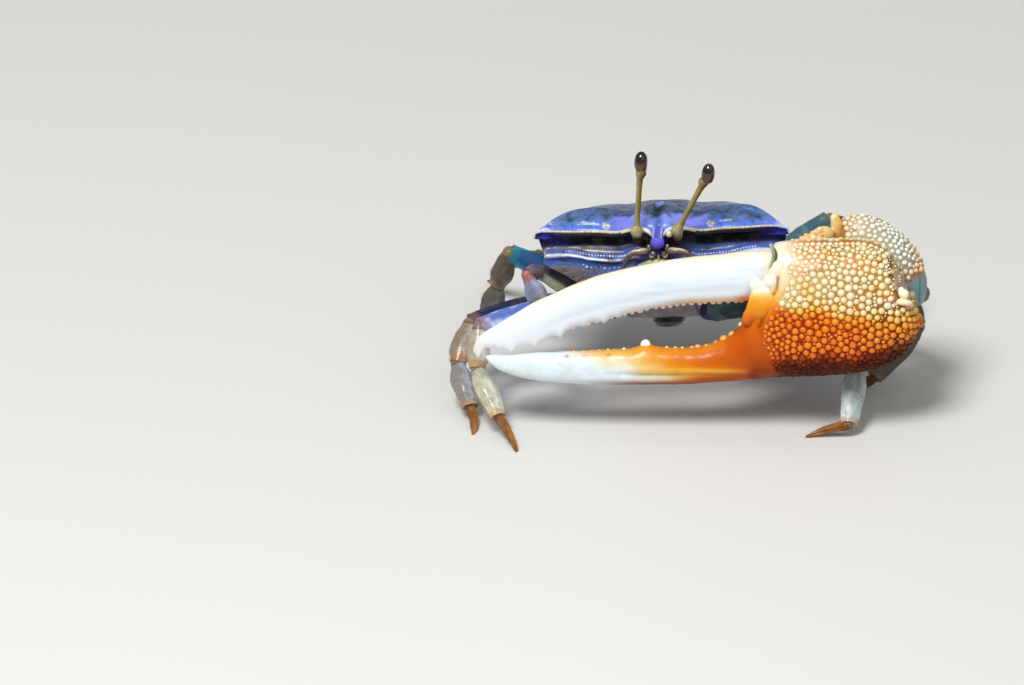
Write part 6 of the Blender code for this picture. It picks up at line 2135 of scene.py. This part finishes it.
@dataclass
class SmallClaw:
    """The small right claw, folded with its hand down beside the mouth."""

    body: UnderBody
    knee: tuple = (-14.6, -9.6, 16.0)
    wrist: tuple = (-16.3, -11.9, 16.6)
    knuckle: tuple = (-14.6, -12.9, 13.4)
    tip: tuple = (-12.4, -13.7, 9.9)
    finger_gap: float = 0.75
    merus: Form = Form(1.1, 0.95, ((0.0, 0.6, 0.7), (0.16, 0.75, 0.8), (0.5, 1.0, 1.0), (0.82, 0.95, 0.95)))
    carpus: Form = Form(0.95, 0.9, ((0.1, 0.75, 0.8), (0.5, 1.0, 1.0), (0.9, 0.9, 0.95)))
    palm: Form = Form(1.3, 0.95, ((0.0, 0.45, 0.62), (0.2, 0.56, 0.74), (0.45, 0.95, 1.0), (0.7, 1.0, 1.0),
                                  (0.92, 0.92, 0.86), (1.0, 0.7, 0.66)))
    finger: Form = Form(0.46, 0.5, ((0.05, 0.9, 0.9), (0.3, 1.0, 1.0), (0.6, 0.8, 0.85), (0.85, 0.55, 0.65),
                                    (1.0, 0.25, 0.3)))

    def build(self) -> None:
        """Makes its four pieces."""
        root = BODY.out(Side.RIGHT.point(self.body.claw_root))
        knee, wrist, knuckle, tip = [Vector(p) for p in (self.knee, self.wrist, self.knuckle, self.tip)]
        normal = (knee - root).cross(tip - wrist).normalized()
        # The under colours are darker copies of the top colours, as painted shade.
        arm = Dress("#2e2630", "#1e1a22", "#4a3e48", "#241d22", 0.4)
        elbow = Dress("#8a6a70", "#5c5a6c", "#8a6f62", "#3c4a6c", 0.5)
        hand = Dress("#a4adc0", "#78839c", "#6fa0a4", "#8a7c70", 0.35)
        merus = Segment("small_merus", root, knee, self.merus, (0.8, 0.7), 1.0, normal, arm)
        clay = merus.shape()
        merus.paint(clay)
        length = (knee - root).length
        pale = rise(0.4, 0.85, clay.normals[:, 1] * -0.4 + clay.normals[:, 2] * 0.9) * rise(length * 0.25, length * 0.4, clay.x)
        clay.coat("#9aa38a", 0.9 * pale * rise(length, length * 0.9, clay.x))
        set_in_place(clay, merus.place(), ARM_SHELL, ("minor_merus",), sharp=60)
        wrist_piece = Segment("small_carpus", knee, wrist, self.carpus, (0.7, 0.65), 1.0, normal, elbow)
        wrist_piece.build("arm", ARM_SHELL, ("minor_carpus",))
        self.hand(wrist, knuckle, tip, normal, hand)

    def hand(self, wrist: Vector, knuckle: Vector, tip: Vector, normal: Vector, dress: Dress) -> None:
        """The palm with its fixed finger, and the movable finger beside it."""
        along = (tip - knuckle).normalized()
        aside = normal.cross(along).normalized() * self.finger_gap
        palm = Segment("small_hand", wrist, knuckle, self.palm, (0.65, 0.0), 1.0, normal, dress)
        fixed = Segment("fixed", knuckle - aside - along * 0.9, tip - aside * 0.45, self.finger, (0.5, 0.0), 1.0,
                        normal, dress)
        clay = palm.shape()
        palm.paint(clay)
        clay.coat("#b5655c", 0.8 * rise(1.2, 0.4, clay.x))
        first = clay.keep()
        first.data.transform(Matrix.Translation(palm.start) @ palm.place().turn.to_4x4())
        other = fixed.shape()
        fixed.paint(other)
        self.tips(other, (fixed.end - fixed.start).length)
        second = other.keep()
        second.data.transform(Matrix.Translation(fixed.start) @ fixed.place().turn.to_4x4())
        whole = merge("small_hand", [first, second])
        flat = np.empty(len(whole.data.vertices) * 4, np.float32)
        whole.data.color_attributes["paint"].data.foreach_get("color", flat)
        clay = Clay(whole)
        clay.colour = flat.reshape(-1, 4)[:, :3].astype(float)
        whole.data.color_attributes.remove(whole.data.color_attributes["paint"])
        set_in_place(clay, CRAB, LEG_SHELL, ("minor_propodus",), sharp=60)
        start, end = knuckle + aside * 0.85 + along * 0.45, tip + aside * 0.5
        finger = Segment("small_finger", start, end, self.finger, (0.42, 0.0), 1.0, normal, dress)
        clay = finger.shape()
        finger.paint(clay)
        self.tips(clay, (end - start).length)
        set_in_place(clay, finger.place(), LEG_SHELL, ("minor_dactyl",), sharp=60)

    def tips(self, clay: Clay, length: float) -> None:
        """The orange spooned tips."""
        clay.coat("#d9764a", rise(length * 0.45, length * 0.75, clay.x))
        clay.coat("#7a4a3a", 0.5 * rise(length * 0.9, length, clay.x))


@dataclass
class GreatArm:
    """The arm behind the great claw and the beaded wrist over the palm's shoulder."""

    body: UnderBody
    depth: float = -12.2
    outline: Outline = Outline(
        ((20.8, 22.0), (21.4, 23.7), (22.3, 24.3), (23.7, 24.4), (24.8, 24.0), (26.4, 23.2), (28.1, 22.0),
         (29.4, 20.6), (30.5, 18.8), (31.2, 17.0), (31.4, 15.9)),
        ((20.8, 20.6), (21.6, 18.0), (23.5, 15.2), (26.0, 13.8), (29.0, 12.7), (30.8, 13.1), (31.4, 14.4)),
        ((20.8, 0.5), (22.0, 2.0), (24.0, 3.0), (28.0, 3.4), (30.5, 2.4), (31.4, 0.8)),
        ((20.8, 0.7), (22.0, 2.3), (24.0, 3.5), (27.0, 4.0), (29.5, 3.2), (30.8, 1.8), (31.4, 0.7)),
        2.2,
    )
    stations: tuple = (20.8, 21.2, 22.0, 23.2, 24.8, 26.5, 28.2, 29.6, 30.6, 31.2, 31.4)
    rod: tuple = ((22.8, -12.0, 20.4), (21.1, -12.5, 21.6), (20.4, -12.8, 24.6))
    rod_radii: tuple = (0.85, 0.78, 0.72, 0.7, 0.74, 0.56)
    knots: tuple = (
        (9.0, -11.9, 12.9), (15.5, -12.0, 13.2), (22.5, -10.9, 12.8), (27.4, -9.7, 12.7), (30.8, -9.2, 12.9),
    )
    radii: tuple = (1.35, 1.75, 1.95, 2.05, 2.05, 2.1, 2.15, 2.0, 1.2)
    seed: int = 17

    def arm(self) -> None:
        """The arm: dark teal, silted, with a paler ridge along it."""
        root = tuple(BODY.out(self.body.claw_root))
        line = smooth_line((root, *self.knots), 110)
        clay = Clay(tube("great_arm", line, self.radii, 48, across=(0, 0, 1), flatness=0.85), "#3d5a5f")
        mottle = drift(clay.points, 1.8, 3.0)
        clay.push(0.06 * mottle + 0.02 * drift(clay.points, 0.6, 5.0)
                  + 0.2 * rise(0.9, 1.0, clay.normals[:, 2]) * rise(10, 13, clay.x))
        clay.coat("#2b3a44", 0.7 * rise(0.0, 0.7, mottle))
        clay.coat("#5c4c38", 0.5 * rise(0.1, 0.8, drift(clay.points, 1.0, 9.0)))
        clay.coat("#7f9a96", 0.5 * rise(0.7, 1.0, clay.normals[:, 2]))
        clay.coat("#8a7450", rise(30.4, 31.4, clay.x) * 0.8)
        set_in_place(clay, CRAB, ARM_SHELL, ("major_merus",))

    def may_grow(self, points: np.ndarray, radii: np.ndarray) -> tuple:
        """The chance of a grain on the wrist, crowded over its outer shoulder, and its size."""
        x, y, z = points.T
        chance = (y < 0.9).astype(float)
        chance *= 1 - ((x > 29.1) & (z < 18.2))
        chance *= rise(14.6, 15.4, z)
        chance *= rise(21.5, 22.3, x)
        chance *= 1 - 0.6 * rise(20.2, 19.0, z) * rise(26.6, 27.6, x)
        return chance, 1 - 0.15 * rise(28.0, 30.0, x)

    def wrist(self) -> None:
        """The wrist's skin, teal behind and at its lower end, with its grains."""
        piece = self.outline.skin("great_wrist", refined(self.stations, 12), 84)
        clay = Clay(piece, "#948a74")
        clay.push(0.06 * drift(clay.points, 1.6, 3.0) + 0.02 * drift(clay.points, 0.5, 5.0))
        x, y, z = clay.x, clay.y, clay.z
        mottle = drift(clay.points, 1.2, 6.0)
        clay.ramp([(20.8, "#b0783c"), (23.0, "#b8a684"), (26.0, "#a8aa98"), (29.0, "#9a9c90"), (31.0, "#a06c40")],
                  x + 0.6 * mottle)
        clay.coat("#2f6c7c", rise(0.2, 1.6, y + 0.3 * mottle))
        clay.coat("#4c8f98", 0.5 * rise(0.6, 2.0, y) * rise(0.0, 0.7, drift(clay.points, 2.2, 8.0)))
        patch = rise(28.9, 29.4, x) * rise(18.3, 17.7, z)
        clay.coat("#6a969e", patch)
        clay.coat("#3f5a5f", 0.6 * patch * hump(x, 30.5, 0.12))
        clay.coat("#a8846c", 0.7 * rise(20.4, 19.2, z) * rise(26.4, 27.6, x) * (y < 0.5) * (1 - patch))
        clay.coat("#b06a3a", 0.7 * hump(z, 17.8, 0.5) * rise(28.0, 29.5, x) * (y < 0.5))
        clay.coat("#6a5a44", 0.7 * rise(16.6, 15.4, z) * rise(29.4, 28.6, x) * (y < 1.0))
        at = Place(Vector((0, self.depth, 0)), Matrix.Identity(3))
        set_in_place(clay, at, BEADED_CLAW, ("major_carpus",))
        classes = ((0.32, 0.46, 5000, 0.74), (0.17, 0.24, 4000, 0.86), (0.11, 0.15, 4000, 0.95))
        places, radii = strew(self.outline, (21.2, 31.3), (0, 2 * math.pi), classes, self.may_grow, self.seed, [])
        outward = self.outline.facing(places)
        chance = np.random.default_rng(self.seed + 1)
        sizes = radii[:, None] * chance.uniform(0.9, 1.1, (len(radii), 3))
        beads = copies("wrist_grains", bead_seed(), places - outward * radii[:, None] * 0.45, sizes)
        tops = np.einsum("ij,ij->i", beads.shape, outward[beads.owners])
        x, z = places[beads.owners, 0], places[beads.owners, 2]
        tone = chance.uniform(-0.8, 0.8, len(radii))[beads.owners]
        beads.ramp([(21.0, "#f2d8a8"), (23.5, "#f2ead0"), (26.0, "#f0eed6"), (28.5, "#dfe8d8"), (30.5, "#f0d8a8")],
                   x + tone)
        beads.coat("#f0a860", 0.4 * rise(19.6, 18.2, z) * rise(28.0, 29.5, x))
        # Painted shade: each grain darkened down its sides towards the skin that it stands on.
        beads.shade(0.5 + 0.5 * rise(0.25, 0.85, tops))
        set_in_place(beads, at, GRAIN, sharp=80)

    def hinge(self) -> None:
        """The stout cream process at the wrist's inner corner, the knob beside it and their skin."""
        rod = tube("rod", smooth_line(self.rod, 50), self.rod_radii, 32)
        parts = [rod]
        parts.append(pebble("shoulder", (17.5, -13.8, 21.7), (2.4, 0.9, 1.2), turned(-24, "Y")))
        parts.append(pebble("shoulder", (18.8, -13.6, 22.4), (1.7, 0.8, 1.3), turned(-30, "Y")))
        parts.append(pebble("knob", (18.6, -13.9, 23.4), (0.42, 0.42, 0.5), turned(-14, "Y")))
        clay = Clay(fuse(merge("wrist_hinge", parts), 0.11, 4), "#efc98a")
        self.shoulder_grains(clay)
        clay.push(0.04 * drift(clay.points, 1.0, 3.0))
        clay.ramp([(20.5, "#b87830"), (22.0, "#dca448"), (23.4, "#e8b860"), (24.9, "#f0ce84")],
                  clay.z + 0.3 * drift(clay.points, 0.7, 2.0))
        clay.coat("#d8c7a4", 0.75 * clay.near((19.0, -13.8, 22.8), 1.2))
        # Painted highlight: pale cream on the side that faces the key light.
        clay.coat("#fff1cc", 0.5 * rise(0.1, 0.9, -clay.normals[:, 0] * 0.8 - clay.normals[:, 1] * 0.4))
        set_in_place(clay, CRAB, GRAIN, sharp=80)

    def shoulder_grains(self, base: Clay) -> None:
        """Small grains over the low shoulder in front of the wrist's process."""
        chance = np.random.default_rng(self.seed + 5)
        kept = []
        for index in chance.permutation(len(base.points)):
            point = base.points[index]
            if point[0] > 19.3 or base.normals[index, 2] < -0.1 or point[2] > 23.1 or base.normals[index, 1] > 0.4:
                continue
            if all(np.linalg.norm(point - base.points[other]) > 0.52 for other in kept):
                kept.append(index)
        sizes = chance.uniform(0.22, 0.32, (len(kept), 1)) * np.ones((1, 3))
        beads = copies("shoulder_grains", bead_seed(), base.points[kept] - base.normals[kept] * 0.08, sizes)
        beads.ramp([(15.0, "#efc98a"), (17.5, "#eab05a"), (19.5, "#e8a24a")], beads.x)
        set_in_place(beads, CRAB, GRAIN, sharp=80)

    def joint_skin(self) -> None:
        """The soft skin that closes the claw's joints: at the wrist, the elbow, and the finger's hinge."""
        parts = []
        line = smooth_line([tuple(CLAW.out(p)) for p in ((14.5, 1.8, 8.4), (20.0, 2.0, 8.8), (24.6, 1.8, 8.2),
                                                          (27.2, 1.1, 5.4), (29.2, 0.6, 1.6))], 60)
        parts.append(tube("skin", line, (0.6, 1.0, 1.1, 1.1, 1.1, 0.8), 24))
        parts.append(pebble("elbow", (30.2, -9.9, 14.2), (1.3, 1.6, 1.5), levels=2))
        parts.append(pebble("hinge", tuple(CLAW.out((12.4, 0.0, 6.4))), (1.3, 1.2, 2.3), turned(-14, "Y"), levels=2))
        parts.append(pebble("heel", tuple(CLAW.out((29.3, 1.2, 2.4))), (1.0, 1.3, 1.5), levels=2))
        clay = Clay(merge("claw_joint_skin", parts), "#8c7f66")
        clay.push(0.07 * np.sin(clay.points[:, 2] * 7 + 2 * drift(clay.points, 1.5, 2.0)))
        clay.ramp([(-0.7, "#5c4c3a"), (0.3, "#9a8c6c"), (0.9, "#b5aa8c")], drift(clay.points, 1.1, 4.0))
        set_in_place(clay, CRAB, JOINT_SKIN, sharp=80)
        line = smooth_line([(12.75, -1.5, 10.0), (13.15, -2.2, 9.3), (13.1, -2.5, 8.5), (12.5, -2.4, 7.6)], 24)
        skin = Clay(tube("hinge_membrane", line, (0.2, 0.3, 0.3, 0.18), 20, across=(1, 0, 0)), "#a9b8a4")
        # Pale at one end as a painted glassy highlight, dark grey-green at the other.
        skin.ramp([(12.3, "#e4e8dc"), (12.8, "#9aa694"), (13.3, "#4c5644")], skin.x)
        set_in_place(skin, CLAW, GRAIN, sharp=80)

    def build(self) -> None:
        """Makes the arm, the wrist and their joints."""
        self.arm()
        self.wrist()
        self.hinge()
        self.joint_skin()


def cheek_setae(body: UnderBody) -> None:
    """The brown bristles that stand thick on the right and left flank, below the ridge."""
    edge = body.shell.edge()
    chance = random.Random(77)
    rows = []
    for side in Side:
        for _ in range(1900):
            index = chance.uniform(42, 80 + 22)
            depth = chance.uniform(0.3 - 0.25 * min(1.0, (index - 42) / 30), 1.0)
            share, follow = 0.90 - 0.10 * depth, 0.85 - 0.5 * depth
            level, inset = -3.9 - 1.9 * depth, 0.3
            low = int(index)
            knot = edge[low] + (edge[low + 1] - edge[low]) * (index - low)
            point = body.shell.drawn_in(np.array([knot]), share, level, follow, inset)[0]
            root = BODY.out(side.point(tuple(point)))
            outward = Vector(point - np.array((0.0, 9.0, -4.0))).normalized()
            outward = BODY.turn @ Vector(side.point(tuple(outward)))
            way = outward + Vector((chance.uniform(-0.35, 0.35), chance.uniform(-0.3, 0.1), chance.uniform(-1.2, -0.3)))
            way.normalize()
            reach = chance.uniform(0.3, 0.65)
            rows.append((root - outward * 0.1, root + way * reach, chance.uniform(0.016, 0.028)))
    hairs("cheek_setae", rows, "#7c7064")


# The studio


@dataclass
class Studio:
    """A pale floor, soft lights and the camera at the photograph's angle."""

    elevation: float = 26.0
    lens: float = 900.0
    film: float = 36.0
    frame_width: float = 122.55
    target: tuple = (-17.98, 0.0, 1.79)
    floor_size: float = 4.0

    def floor(self) -> None:
        """A wide flat floor."""
        bpy.ops.object.select_all(action="DESELECT")
        bpy.ops.mesh.primitive_plane_add(size=self.floor_size, location=(0, 0, 0))
        floor = bpy.context.object
        floor.name = "studio_floor"
        floor.data.materials.append(StudioFloor().material())

    def light(self, name: str, azimuth: float, elevation: float, distance: float, size: float, watts: float) -> None:
        """A soft square light that faces the animal."""
        lamp = bpy.data.objects.new(name, bpy.data.lights.new(name, "AREA"))
        lamp.data.size = size
        lamp.data.energy = watts
        turn, up = math.radians(azimuth), math.radians(elevation)
        way = Vector((math.sin(turn) * math.cos(up), -math.cos(turn) * math.cos(up), math.sin(up)))
        lamp.location = way * distance + Vector((0, 0, 0.01))
        lamp.rotation_mode = "QUATERNION"
        lamp.rotation_quaternion = way.to_track_quat("Z", "Y")
        bpy.context.scene.collection.objects.link(lamp)

    def build(self) -> None:
        """Sets the floor, the lights, the sky and the camera."""
        self.floor()
        self.light("key_light", -28.0, 58.0, 0.6, 0.2, 3.3)
        self.light("fill_light", 40.0, 40.0, 0.9, 0.6, 0.8)
        scene = bpy.context.scene
        world = bpy.data.worlds.new("studio_air")
        world.use_nodes = True
        sky = world.node_tree.nodes["Background"]
        sky.inputs["Color"].default_value = (1, 1, 1, 1)
        sky.inputs["Strength"].default_value = 0.36
        scene.world = world
        scene.view_settings.view_transform = "Standard"
        camera = bpy.data.objects.new("camera", bpy.data.cameras.new("camera"))
        camera.data.lens = self.lens
        camera.data.sensor_width = self.film
        camera.data.clip_end = 400.0
        up = math.radians(self.elevation)
        back = Vector((0, -math.cos(up), math.sin(up)))
        aim = (Vector(self.target) - FLOOR_CENTRE) * MM
        camera.location = aim + back * (self.lens / self.film * self.frame_width * MM)
        camera.rotation_euler = (-back).to_track_quat("-Z", "Y").to_euler()
        scene.collection.objects.link(camera)
        scene.camera = camera


def main() -> None:
    """Builds the crab, sub-assembly by sub-assembly, and its studio."""
    logging.basicConfig(level=logging.INFO, format="%(name)s: %(message)s")
    shell = Carapace()
    body = UnderBody(shell)
    shell.build()
    body.build()
    Abdomen().build()
    for side in Side:
        Eyestalk(side).build()
    Face().build()
    cheek_setae(body)
    for stance in STANCES:
        WalkingLeg(stance, body).build()
    SmallClaw(body).build()
    GreatHand().build()
    GreatFinger().build()
    GreatArm(body).build()
    Studio().build()


if __name__ == "__main__":
    main()
